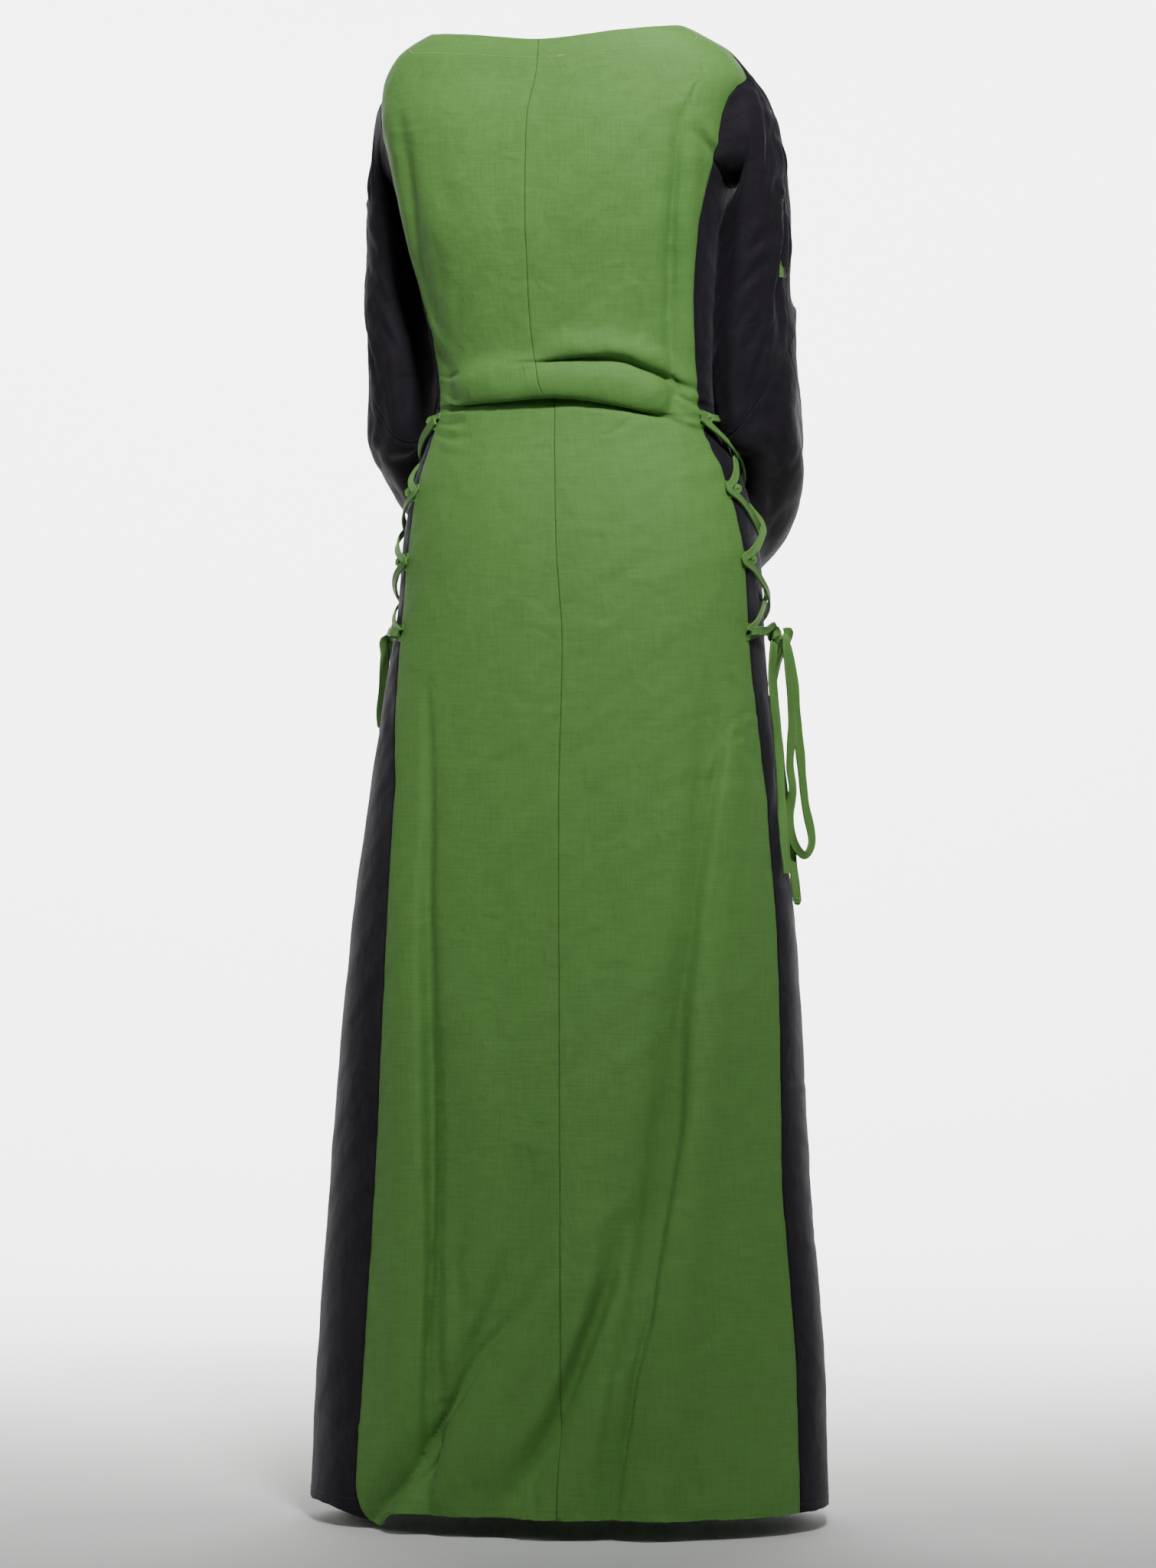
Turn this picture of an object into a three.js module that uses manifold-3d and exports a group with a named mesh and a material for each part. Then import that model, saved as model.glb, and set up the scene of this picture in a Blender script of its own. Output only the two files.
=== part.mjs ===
// A laced, floor-length dress in the form that it has when it is worn, with no wearer in it.
// Millimetres, +Z up. The front faces -Y and the wearer's right side is -X. The origin lies
// between the shoulders at the height of the neck, where the wearer holds the dress up.
// Widths are read from behind, from a view turned VIEW_TURN to the wearer's right, so
// "seen" values are distances to the left and right of the origin in that view.

import * as THREE from 'three';
import { mergeVertices } from 'three/addons/utils/BufferGeometryUtils.js';
import Module from 'manifold-3d';

const wasm = await Module();
wasm.setup();

// Driving sizes
const WALL = 2;
const SEAM_GAP = 0.3;
const ARMHOLE_GAP = 0.7;
const ARMHOLE_TIP_GAP = 2.4;
const ARMHOLE_MIDDLE = { turn: THREE.MathUtils.degToRad(101), z: -82 };
const HEM_Z = -1450;
const HEM_TAIL_DROP = 16;
const NECK_POINT_Z = 10;
const NECK_DROP_BACK = 14;
const NECK_DROP_FRONT = 40;
const SHOULDER_Z = -12;
const UNDERARM_Z = -124;
const UNDERARM_DIP = 22;
const LACE_DIAMETER = 6;
const KNOT_RADIUS = 10;
const VIEW_TURN = THREE.MathUtils.degToRad(16);
const VIEW_COS = Math.cos(VIEW_TURN);
const VIEW_SIN = Math.sin(VIEW_TURN);

// Level sections of the worn dress: how far it is seen to reach left and right, how deep it
// is behind and in front of its middle, where that middle lies, and how square it is
const SECTIONS = [
  { z: 12, left: 131, right: 111, back: 52, front: 74, middle: 40, square: 2.5 },
  { z: -4, left: 160, right: 143, back: 64, front: 84, middle: 32, square: 2.6 },
  { z: -15, left: 173, right: 161, back: 72, front: 90, middle: 27, square: 2.7 },
  { z: -41, left: 186, right: 180, back: 88, front: 96, middle: 15, square: 2.8 },
  { z: -77, left: 188, right: 176, back: 101, front: 102, middle: 8, square: 2.9 },
  { z: -124, left: 178, right: 169, back: 109, front: 110, middle: 2, square: 2.9 },
  { z: -186, left: 164, right: 157, back: 108, front: 116, middle: 0, square: 2.9 },
  { z: -235, left: 152, right: 150, back: 101, front: 114, middle: 0, square: 2.6 },
  { z: -285, left: 141, right: 146, back: 94, front: 106, middle: 0, square: 2.4 },
  { z: -352, left: 132, right: 143, back: 84, front: 98, middle: 0, square: 2.3 },
  { z: -385, left: 139, right: 149, back: 88, front: 99, middle: 0, square: 2.3 },
  { z: -440, left: 157, right: 172, back: 103, front: 104, middle: 0, square: 2.3 },
  { z: -500, left: 167, right: 187, back: 116, front: 108, middle: 0, square: 2.3 },
  { z: -570, left: 172, right: 191, back: 124, front: 112, middle: 0, square: 2.3 },
  { z: -640, left: 184, right: 196, back: 128, front: 116, middle: 0, square: 2.3 },
  { z: -740, left: 199, right: 207, back: 135, front: 122, middle: 0, square: 2.2 },
  { z: -900, left: 221, right: 226, back: 148, front: 134, middle: 0, square: 2.2 },
  { z: -1130, left: 240, right: 242, back: 166, front: 150, middle: 0, square: 2.2 },
  { z: -1300, left: 252, right: 258, back: 182, front: 164, middle: 0, square: 2.2 },
  { z: HEM_Z, left: 260, right: 264, back: 196, front: 176, middle: 0, square: 2.2 },
];

// The seams, in degrees round the body: the back ones from the centre back, the front ones
// from the centre front. Down to the underarm they are the armhole's back and front edges.
const SEAMS = [
  { z: SHOULDER_Z, backLeft: 90, backRight: 90, frontLeft: 90, frontRight: 90 },
  { z: -26, backLeft: 90, backRight: 90, frontLeft: 81, frontRight: 81 },
  { z: -41, backLeft: 90, backRight: 90, frontLeft: 77, frontRight: 77 },
  { z: -50, backLeft: 83, backRight: 81, frontLeft: 75.5, frontRight: 75.5 },
  { z: -62, backLeft: 79, backRight: 77, frontLeft: 74, frontRight: 74 },
  { z: -80, backLeft: 77, backRight: 75, frontLeft: 72, frontRight: 72 },
  { z: -102, backLeft: 76, backRight: 74, frontLeft: 71, frontRight: 71 },
  { z: UNDERARM_Z, backLeft: 75, backRight: 73, frontLeft: 70, frontRight: 70 },
  { z: -186, backLeft: 73, backRight: 69, frontLeft: 70, frontRight: 70 },
  { z: -235, backLeft: 72, backRight: 70, frontLeft: 70, frontRight: 70 },
  { z: -285, backLeft: 72, backRight: 72, frontLeft: 70, frontRight: 70 },
  { z: -352, backLeft: 73, backRight: 76, frontLeft: 70, frontRight: 70 },
  { z: -385, backLeft: 72, backRight: 78, frontLeft: 70, frontRight: 70 },
  { z: -480, backLeft: 70, backRight: 79, frontLeft: 70, frontRight: 68 },
  { z: -570, backLeft: 69, backRight: 80, frontLeft: 69, frontRight: 66 },
  { z: -740, backLeft: 58, backRight: 81, frontLeft: 67, frontRight: 61 },
  { z: -900, backLeft: 54, backRight: 79, frontLeft: 66, frontRight: 58 },
  { z: -1130, backLeft: 51, backRight: 75, frontLeft: 64, frontRight: 54 },
  { z: HEM_Z, backLeft: 50, backRight: 74, frontLeft: 62, frontRight: 50 },
];

// The centre back seam wanders: degrees from straight behind, plus to the wearer's right
const CENTRE_BACK = [
  { z: NECK_POINT_Z, turn: -4 },
  { z: -90, turn: -5 },
  { z: -208, turn: -6.5 },
  { z: -294, turn: -10 },
  { z: -337, turn: -6 },
  { z: -354, turn: 1 },
  { z: -414, turn: 3 },
  { z: -506, turn: 4 },
  { z: -616, turn: 9 },
  { z: -740, turn: 9.5 },
  { z: -1130, turn: 12 },
  { z: HEM_Z, turn: 11.5 },
];

// The largest folds that run down the back. Each passes three seen places, and has a trough
// with a rounded ridge beside it, on the side named by ridgeSide
const FOLDS_DOWN = [
  {
    name: 'left skirt fold', topX: -150, topZ: -640, bendX: -141, bendZ: -1000, lowX: -142, lowZ: HEM_Z,
    depthTop: 2, depthLow: 15, ridge: 7, ridgeSide: -1, width: 13,
  },
  {
    name: 'right skirt fold', topX: 139, topZ: -640, bendX: 101, bendZ: -1060, lowX: 44, lowZ: HEM_Z,
    depthTop: 3, depthLow: 12, ridge: 8, ridgeSide: 1, width: 16,
  },
  {
    name: 'slanting hem fold', topX: -20, topZ: -1090, bendX: -77, bendZ: -1285, lowX: -200, lowZ: -1462,
    depthTop: 1, depthLow: 20, ridge: 9, ridgeSide: 1, width: 20,
  },
  {
    name: 'middle hem fold', topX: 48, topZ: -1060, bendX: 21, bendZ: -1284, lowX: -72, lowZ: HEM_Z,
    depthTop: 1, depthLow: 9, ridge: 5, ridgeSide: 1, width: 22,
  },
  {
    name: 'left back fold', topX: -172, topZ: -60, bendX: -155, bendZ: -190, lowX: -126, lowZ: -330,
    depthTop: 3, depthLow: 5, ridge: 4, ridgeSide: -1, width: 9,
  },
  {
    name: 'right back fold', topX: 108, topZ: -84, bendX: 101, bendZ: -200, lowX: 101, lowZ: -345,
    depthTop: 4, depthLow: 5, ridge: 4, ridgeSide: 1, width: 9,
  },
];

// The cloth blouses over the waist in two folds that run across, through four seen places
const FOLDS_ACROSS = [
  {
    name: 'waist fold', x: [-150, -50, 40, 135], z: [-360, -350, -357, -384],
    bulge: 9, bulgeHeight: 17, trough: 7, troughHeight: 8,
  },
  {
    name: 'upper waist fold', x: [-60, 0, 50, 145], z: [-326, -315, -318, -365],
    bulge: 5, bulgeHeight: 11, trough: 4, troughHeight: 6,
  },
];

// Soft flutes of the skirt on the sides that the view hides, by degrees from centre back
const FLUTES = [
  { turn: -98, width: 9, depth: -13, top: -640 },
  { turn: -122, width: 10, depth: 12, top: -560 },
  { turn: -150, width: 12, depth: -12, top: -620 },
  { turn: 180, width: 13, depth: 13, top: -560 },
  { turn: 152, width: 11, depth: -11, top: -700 },
  { turn: 124, width: 9, depth: 11, top: -600 },
  { turn: 98, width: 8, depth: -9, top: -640 },
];

// Rings of the sleeves, x outward from the body. side and deep are half sizes. pitch drops
// the ring's back, yaw turns it forward and roll lifts its outer side, in degrees
const SLEEVE_RINGS = [
  { name: 'cap', x: 200, y: -9, z: -108, side: 45, deep: 46, pitch: -6, yaw: 0, roll: 76 },
  { name: 'upper', x: 197, y: -22, z: -160, side: 30, deep: 51, pitch: -4, yaw: 0, roll: 30 },
  { name: 'bicep', x: 194, y: -32, z: -202, side: 30, deep: 54, pitch: 0, yaw: 0, roll: 4 },
  { name: 'arm', x: 189, y: -38, z: -250, side: 33, deep: 56, pitch: 6, yaw: -2, roll: 6 },
  { name: 'low', x: 185, y: -44, z: -292, side: 38, deep: 66, pitch: 28, yaw: -6, roll: 25 },
  { name: 'elbow seam', x: 193, y: -46, z: -322, side: 44, deep: 91, pitch: 49, yaw: -12, roll: 42 },
  { name: 'elbow', x: 193, y: -62, z: -352, side: 34, deep: 74, pitch: 56, yaw: 8, roll: 20 },
  { name: 'forearm', x: 173, y: -108, z: -384, side: 40, deep: 86, pitch: 66, yaw: 24, roll: 10 },
  { name: 'flare', x: 142, y: -156, z: -416, side: 46, deep: 100, pitch: 74, yaw: 38, roll: 4 },
  { name: 'cuff', x: 100, y: -198, z: -432, side: 52, deep: 112, pitch: 80, yaw: 48, roll: 0 },
];
const ELBOW_SEAM_RING = 6;
const CUFF_RING = 10;
const LEFT_ARM_SHIFT = { x: 8, y: -10 };

// Where the sleeve's columns start on the armhole, and their turn round the rings: 90 is the
// outer side, 0 the back, -90 the inner side and -180 the front
const ARMHOLE = [
  { edge: 'shoulder', z: SHOULDER_Z, turn: 92 },
  { edge: 'shoulder', z: -26, turn: 80 },
  { edge: 'back', z: -41, turn: 66 },
  { edge: 'back', z: -50, turn: 52 },
  { edge: 'back', z: -62, turn: 40 },
  { edge: 'back', z: -80, turn: 24 },
  { edge: 'back', z: -102, turn: 4 },
  { edge: 'back', z: UNDERARM_Z, turn: -18 },
  { edge: 'side', across: 0.25, turn: -52 },
  { edge: 'side', across: 0.5, turn: -90 },
  { edge: 'side', across: 0.75, turn: -128 },
  { edge: 'front', z: UNDERARM_Z, turn: -162 },
  { edge: 'front', z: -102, turn: -184 },
  { edge: 'front', z: -80, turn: -203 },
  { edge: 'front', z: -62, turn: -218 },
  { edge: 'front', z: -50, turn: -230 },
  { edge: 'front', z: -41, turn: -240 },
  { edge: 'front', z: -26, turn: -254 },
  { edge: 'front', z: SHOULDER_Z, turn: -268 },
];

// The slashed outer seam stands open between its ties, at these places down the rings
const SLASHES = [
  { top: 1.1, low: 1.36, width: 6 },
  { top: 1.46, low: 1.88, width: 11 },
  { top: 2.5, low: 3.5, width: 9 },
];

// Folds of the sleeve's cloth: a turn, the rings between which it runs, depth and width
const SLEEVE_FOLDS = [
  { turn: 74, top: 3.2, low: 5.3, depth: -4, width: 9 },
  { turn: 30, top: 4.4, low: 6.6, depth: -4, width: 16 },
  { turn: -24, top: 1.4, low: 4, depth: -3, width: 14 },
  { turn: 50, top: 6.8, low: 10.6, depth: 5, width: 18 },
  { turn: 10, top: 7.2, low: 10.6, depth: -5, width: 16 },
  { turn: -150, top: 7.5, low: 10.6, depth: -6, width: 20 },
];

// Rows of the panels. The first ones are parts of the way from the neckline to SHOULDER_Z
const NECK_ROWS = [0, 0.5];
const ROWS = [
  SHOULDER_Z, -26, -41, -50, -62, -80, -102, UNDERARM_Z, -150, -180, -220, -258, -288, -308,
  -322, -334, -344, -353, -362, -372, -388, -412, -450, -500, -560, -640, -725, -810, -895,
  -980, -1060, -1140, -1210, -1275, -1335, -1392, HEM_Z,
];
const BACK_COLUMNS = 12;
const FRONT_COLUMNS = 8;
const SIDE_COLUMNS = 4;

// Eyelets of the side lacing, and the mid-line of the gap that it crosses
const EYELET_Z = [-377, -448, -517, -588];
const EYELET_INSET = 2;
const LACING_STEPS = 32;
const BAR_STEPS = 6;
const KNOT_PLACE = { turn: 96, z: -590 };

const GREEN = new THREE.MeshStandardMaterial({ color: 0x4f8a35, roughness: 0.7, metalness: 0 });
const DARK = new THREE.MeshStandardMaterial({ color: 0x2c2931, roughness: 0.68, metalness: 0 });

const dress = new THREE.Group();
dress.name = 'laced_dress';

// Reading a table

function tableValue(rows, column, z) {
  if (z >= rows[0].z) {
    return rows[0][column];
  }
  const last = rows.length - 1;
  if (z <= rows[last].z) {
    return rows[last][column];
  }
  let i = 0;
  while (z < rows[i + 1].z) {
    i += 1;
  }
  const span = rows[i + 1].z - rows[i].z;
  const f = (z - rows[i].z) / span;
  const slope = (a, b) => (rows[b][column] - rows[a][column]) / (rows[b].z - rows[a].z);
  const start = slope(Math.max(i - 1, 0), i + 1) * span;
  const end = slope(i, Math.min(i + 2, last)) * span;
  const f2 = f * f;
  const f3 = f2 * f;
  return rows[i][column] * (2 * f3 - 3 * f2 + 1) + start * (f3 - 2 * f2 + f)
    + rows[i + 1][column] * (3 * f2 - 2 * f3) + end * (f3 - f2);
}

function straightValue(rows, column, z) {
  let i = 0;
  while (i < rows.length - 2 && z < rows[i + 1].z) {
    i += 1;
  }
  const f = THREE.MathUtils.clamp((z - rows[i].z) / (rows[i + 1].z - rows[i].z), 0, 1);
  return THREE.MathUtils.lerp(rows[i][column], rows[i + 1][column], f);
}

// The body of the dress

function reach(half, depth, square) {
  const power = square / (square - 1);
  return (Math.pow(VIEW_COS * half, power) + Math.pow(VIEW_SIN * depth, power)) ** (1 / power);
}

const knownSections = new Map();

function sectionAt(z) {
  if (knownSections.has(z)) {
    return knownSections.get(z);
  }
  const row = {};
  for (const column of ['left', 'right', 'back', 'front', 'middle', 'square']) {
    row[column] = tableValue(SECTIONS, column, z);
  }
  let low = 20;
  let high = 500;
  for (let step = 0; step < 40; step += 1) {
    const half = (low + high) / 2;
    const width = reach(half, row.back, row.square) + reach(half, row.front, row.square);
    if (width < row.left + row.right) {
      low = half;
    } else {
      high = half;
    }
  }
  row.half = low;
  row.x = (row.left - VIEW_SIN * row.middle - reach(low, row.back, row.square)) / VIEW_COS;
  knownSections.set(z, row);
  return row;
}

function bump(distance, width) {
  return Math.exp(-((distance / width) ** 2));
}

function curveThrough(xs, ys, x) {
  const at = THREE.MathUtils.clamp(x, xs[0], xs[xs.length - 1]);
  let sum = 0;
  for (let i = 0; i < xs.length; i += 1) {
    let term = ys[i];
    for (let j = 0; j < xs.length; j += 1) {
      if (j !== i) {
        term *= (at - xs[j]) / (xs[i] - xs[j]);
      }
    }
    sum += term;
  }
  return sum;
}

function foldsAt(x, y, z, turn) {
  const seenX = -VIEW_COS * x - VIEW_SIN * y;
  const facing = THREE.MathUtils.smoothstep(Math.cos(turn - VIEW_TURN), 0.02, 0.35);
  let move = 0;
  for (const fold of FOLDS_DOWN) {
    const path = curveThrough([fold.lowZ, fold.bendZ, fold.topZ], [fold.lowX, fold.bendX, fold.topX], z);
    const down = THREE.MathUtils.clamp((fold.topZ - z) / (fold.topZ - fold.lowZ), 0, 1);
    const start = THREE.MathUtils.smoothstep(fold.topZ - z, -40, 60);
    const end = THREE.MathUtils.smoothstep(z - fold.lowZ, -60, -5);
    const away = seenX - path;
    const depth = THREE.MathUtils.lerp(fold.depthTop, fold.depthLow, down);
    const ridge = fold.ridge * depth / fold.depthLow;
    const width = fold.width * (0.8 + 0.4 * down);
    move += start * end * (ridge * bump(away - fold.ridgeSide * 1.7 * width, 1.2 * width)
      - depth * bump(away, width));
  }
  for (const fold of FOLDS_ACROSS) {
    const above = z - curveThrough(fold.x, fold.z, seenX);
    const inside = THREE.MathUtils.smoothstep(seenX, fold.x[0] + 20, fold.x[0] + 60)
      * (1 - THREE.MathUtils.smoothstep(seenX, fold.x[3] - 60, fold.x[3] - 20));
    move += inside * (fold.bulge * bump(above - 0.8 * fold.bulgeHeight, fold.bulgeHeight)
      - fold.trough * bump(above + 0.5 * fold.troughHeight, fold.troughHeight));
  }
  return move * facing;
}

function flutesAt(turn, z) {
  let move = 0;
  for (const flute of FLUTES) {
    const away = THREE.MathUtils.euclideanModulo(
      THREE.MathUtils.radToDeg(turn) - flute.turn + 180, 360) - 180;
    const down = THREE.MathUtils.clamp((flute.top - z) / (flute.top - HEM_Z), 0, 1);
    move += flute.depth * Math.pow(down, 1.3) * bump(away, flute.width);
  }
  return move;
}

// A point of the dress's cloth, at a turn in radians from the centre back to the right
function bodyPoint(turn, z) {
  const row = sectionAt(z);
  const depth = Math.cos(turn) > 0 ? row.back : row.front;
  const across = Math.abs(Math.sin(turn)) / row.half;
  const along = Math.abs(Math.cos(turn)) / depth;
  const radius = (across ** row.square + along ** row.square) ** (-1 / row.square);
  const x = row.x - radius * Math.sin(turn);
  const y = row.middle + radius * Math.cos(turn);
  const grown = radius + foldsAt(x, y, z, turn) + flutesAt(turn, z);
  return new THREE.Vector3(row.x - grown * Math.sin(turn), row.middle + grown * Math.cos(turn), z);
}

function bodyNormal(turn, z) {
  const small = 0.01;
  const round = bodyPoint(turn + small, z).sub(bodyPoint(turn - small, z));
  const down = bodyPoint(turn, z - 2).sub(bodyPoint(turn, z + 2));
  return round.cross(down).normalize().negate();
}

// A place over the cloth, at degrees from the centre back to the wearer's right
function onBody(turnDegrees, z, out) {
  const turn = THREE.MathUtils.degToRad(turnDegrees);
  return bodyPoint(turn, z).addScaledVector(bodyNormal(turn, z), out);
}

function neckline(turn) {
  const drop = Math.cos(turn) > 0 ? NECK_DROP_BACK : NECK_DROP_FRONT;
  return NECK_POINT_Z - drop * Math.abs(Math.cos(turn)) ** 1.3;
}

function hemline(turn) {
  const away = THREE.MathUtils.radToDeg(turn) + 46;
  return HEM_Z - HEM_TAIL_DROP * bump(away, 8);
}

// Walls of cloth

function signedVolume(position, index) {
  const a = new THREE.Vector3();
  const b = new THREE.Vector3();
  const c = new THREE.Vector3();
  let volume = 0;
  for (let i = 0; i < index.length; i += 3) {
    a.fromArray(position, 3 * index[i]);
    b.fromArray(position, 3 * index[i + 1]);
    c.fromArray(position, 3 * index[i + 2]);
    volume += a.dot(b.cross(c)) / 6;
  }
  return volume;
}

// A closed wall round a grid of middle points and normals, rows[i][j] = { point, normal }
function wallOf(rows, thickness) {
  const height = rows.length;
  const width = rows[0].length;
  const position = [];
  for (const side of [0.5, -0.5]) {
    for (const row of rows) {
      for (const { point, normal } of row) {
        const moved = point.clone().addScaledVector(normal, side * thickness);
        position.push(moved.x, moved.y, moved.z);
      }
    }
  }
  const outer = (i, j) => i * width + j;
  const inner = (i, j) => height * width + i * width + j;
  const index = [];
  for (let i = 0; i + 1 < height; i += 1) {
    for (let j = 0; j + 1 < width; j += 1) {
      index.push(outer(i, j), outer(i + 1, j), outer(i + 1, j + 1));
      index.push(outer(i, j), outer(i + 1, j + 1), outer(i, j + 1));
      index.push(inner(i, j), inner(i + 1, j + 1), inner(i + 1, j));
      index.push(inner(i, j), inner(i, j + 1), inner(i + 1, j + 1));
    }
  }
  const rim = [];
  for (let j = 0; j + 1 < width; j += 1) {
    rim.push([0, j, 0, j + 1], [height - 1, j + 1, height - 1, j]);
  }
  for (let i = 0; i + 1 < height; i += 1) {
    rim.push([i + 1, 0, i, 0], [i, width - 1, i + 1, width - 1]);
  }
  for (const [i, j, k, l] of rim) {
    index.push(outer(i, j), outer(k, l), inner(k, l));
    index.push(outer(i, j), inner(k, l), inner(i, j));
  }
  if (signedVolume(position, index) < 0) {
    index.reverse();
  }
  const geometry = new THREE.BufferGeometry();
  geometry.setAttribute('position', new THREE.Float32BufferAttribute(position, 3));
  geometry.setIndex(index);
  return geometry;
}

function addPiece(name, geometry, material) {
  const piece = new THREE.Mesh(geometry, material);
  piece.name = name;
  dress.add(piece);
  return piece;
}

// Panels of the body

const radians = THREE.MathUtils.degToRad;
const SIDES = [
  { name: 'left', sign: 1, back: 'backLeft', front: 'frontLeft' },
  { name: 'right', sign: -1, back: 'backRight', front: 'frontRight' },
];

// Turns are negative on the wearer's left, whose side has x plus
function backEdge(side, z) {
  return -side.sign * radians(straightValue(SEAMS, side.back, z));
}

function frontEdge(side, z) {
  return -side.sign * (Math.PI - radians(straightValue(SEAMS, side.front, z)));
}

function centreBack(z) {
  return radians(tableValue(CENTRE_BACK, 'turn', z));
}

function bodyRow(z, start, end, columns, heightAt) {
  const middle = sectionAt(z);
  const inset = (SEAM_GAP / 2) / Math.min(middle.half, 200) * Math.sign(end - start);
  const row = [];
  for (let j = 0; j <= columns; j += 1) {
    const turn = THREE.MathUtils.lerp(start + inset, end - inset, j / columns);
    const height = heightAt(turn, j / columns);
    row.push({ point: bodyPoint(turn, height), normal: bodyNormal(turn, height) });
  }
  return row;
}

function panelRows(startAt, endAt, columns) {
  const rows = [];
  for (const part of NECK_ROWS) {
    const height = (turn) => THREE.MathUtils.lerp(neckline(turn), SHOULDER_Z, part);
    rows.push(bodyRow(SHOULDER_Z, startAt(NECK_POINT_Z), endAt(SHOULDER_Z), columns, height));
  }
  for (const z of ROWS) {
    const height = (turn) => (z === HEM_Z ? hemline(turn) : z);
    rows.push(bodyRow(z, startAt(z), endAt(z), columns, height));
  }
  return rows;
}

function backPanel(side) {
  return wallOf(panelRows(centreBack, (z) => backEdge(side, z), BACK_COLUMNS), WALL);
}

function frontPanel() {
  const [left, right] = SIDES;
  const rightEdge = (z) => frontEdge(right, z);
  const leftEdge = (z) => frontEdge(left, z) + 2 * Math.PI;
  return wallOf(panelRows(rightEdge, leftEdge, FRONT_COLUMNS), WALL);
}

// How far the armhole's lower edge dips below the underarm corners
function underarmHeight(z, across) {
  const arch = 1 - (2 * across - 1) ** 2;
  const dip = { [UNDERARM_Z]: UNDERARM_DIP, [-150]: UNDERARM_DIP / 2 }[z] ?? 0;
  return z - dip * arch;
}

function sidePanel(side) {
  const rows = ROWS.filter((z) => z <= UNDERARM_Z).map((z) => {
    const height = (turn, across) => (z === HEM_Z ? hemline(turn) : underarmHeight(z, across));
    return bodyRow(z, backEdge(side, z), frontEdge(side, z), SIDE_COLUMNS, height);
  });
  return wallOf(rows, WALL);
}

// Sleeves

function ringPoint(side, ring, turn) {
  const pitch = radians(ring.pitch);
  const yaw = radians(ring.yaw);
  const roll = radians(ring.roll);
  const outward = new THREE.Vector3(
    Math.cos(yaw) * Math.cos(roll), -Math.sin(yaw) * Math.cos(roll), Math.sin(roll));
  const backward = new THREE.Vector3(
    Math.sin(yaw) * Math.cos(pitch), Math.cos(yaw) * Math.cos(pitch), -Math.sin(pitch));
  const point = new THREE.Vector3(ring.x, ring.y, ring.z)
    .addScaledVector(outward, ring.side * Math.sin(turn))
    .addScaledVector(backward, ring.deep * Math.cos(turn));
  if (side.sign > 0) {
    point.x += LEFT_ARM_SHIFT.x;
    point.y += LEFT_ARM_SHIFT.y;
  }
  point.x *= side.sign;
  return point;
}

function armholePlace(side, column) {
  if (column.edge === 'side') {
    const start = backEdge(side, UNDERARM_Z);
    const end = frontEdge(side, UNDERARM_Z);
    const turn = THREE.MathUtils.lerp(start, end, column.across);
    return { turn, z: underarmHeight(UNDERARM_Z, column.across) };
  }
  const edge = column.edge === 'front' ? frontEdge : backEdge;
  return { turn: edge(side, column.z), z: column.z };
}

// The point where a column of the sleeve meets the armhole, moved off the body's edge
function armholePoint(side, index) {
  const { turn, z } = armholePlace(side, ARMHOLE[index]);
  const point = bodyPoint(turn, z);
  const normal = bodyNormal(turn, z);
  const last = ARMHOLE.length - 1;
  const placeOf = (at) => {
    const near = armholePlace(side, ARMHOLE[at]);
    return bodyPoint(near.turn, near.z);
  };
  if (index === 0 || index === last) {
    const down = placeOf(1).sub(point).normalize().add(placeOf(last - 1).sub(point).normalize());
    return { point: point.addScaledVector(down.normalize(), ARMHOLE_TIP_GAP), normal };
  }
  const hole = bodyPoint(-side.sign * ARMHOLE_MIDDLE.turn, ARMHOLE_MIDDLE.z);
  const off = placeOf(index + 1).sub(placeOf(index - 1)).cross(normal).normalize();
  if (off.dot(hole.sub(point)) < 0) {
    off.negate();
  }
  return { point: point.addScaledVector(off, ARMHOLE_GAP), normal };
}

function sleeveFoldsAt(turn, ringIndex) {
  let move = 0;
  for (const fold of SLEEVE_FOLDS) {
    const away = THREE.MathUtils.euclideanModulo(
      THREE.MathUtils.radToDeg(turn) - fold.turn + 180, 360) - 180;
    const inside = THREE.MathUtils.smoothstep(ringIndex, fold.top - 0.3, fold.top + 0.5)
      * (1 - THREE.MathUtils.smoothstep(ringIndex, fold.low - 0.5, fold.low + 0.3));
    move += fold.depth * inside * bump(away, fold.width);
  }
  return move;
}

// A point of the sleeve: place counts the rings, 0 at the armhole and 10 at the cuff
function sleevePoint(side, columnTurn, armhole, place) {
  const knots = [armhole, ...SLEEVE_RINGS.map((ring) => ringPoint(side, ring, columnTurn))];
  const i = Math.min(Math.floor(place), knots.length - 2);
  const f = place - i;
  const before = knots[Math.max(i - 1, 0)];
  const after = knots[Math.min(i + 2, knots.length - 1)];
  const start = knots[i + 1].clone().sub(before).multiplyScalar(0.5);
  const end = after.clone().sub(knots[i]).multiplyScalar(0.5);
  const f2 = f * f;
  const f3 = f2 * f;
  return knots[i].clone().multiplyScalar(2 * f3 - 3 * f2 + 1)
    .addScaledVector(start, f3 - 2 * f2 + f)
    .addScaledVector(knots[i + 1], 3 * f2 - 2 * f3)
    .addScaledVector(end, f3 - f2);
}

function slashWidth(place) {
  for (const slash of SLASHES) {
    if (place > slash.top && place < slash.low) {
      const part = (place - slash.top) / (slash.low - slash.top);
      return SEAM_GAP + slash.width * Math.sin(Math.PI * part);
    }
  }
  return SEAM_GAP;
}

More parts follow.
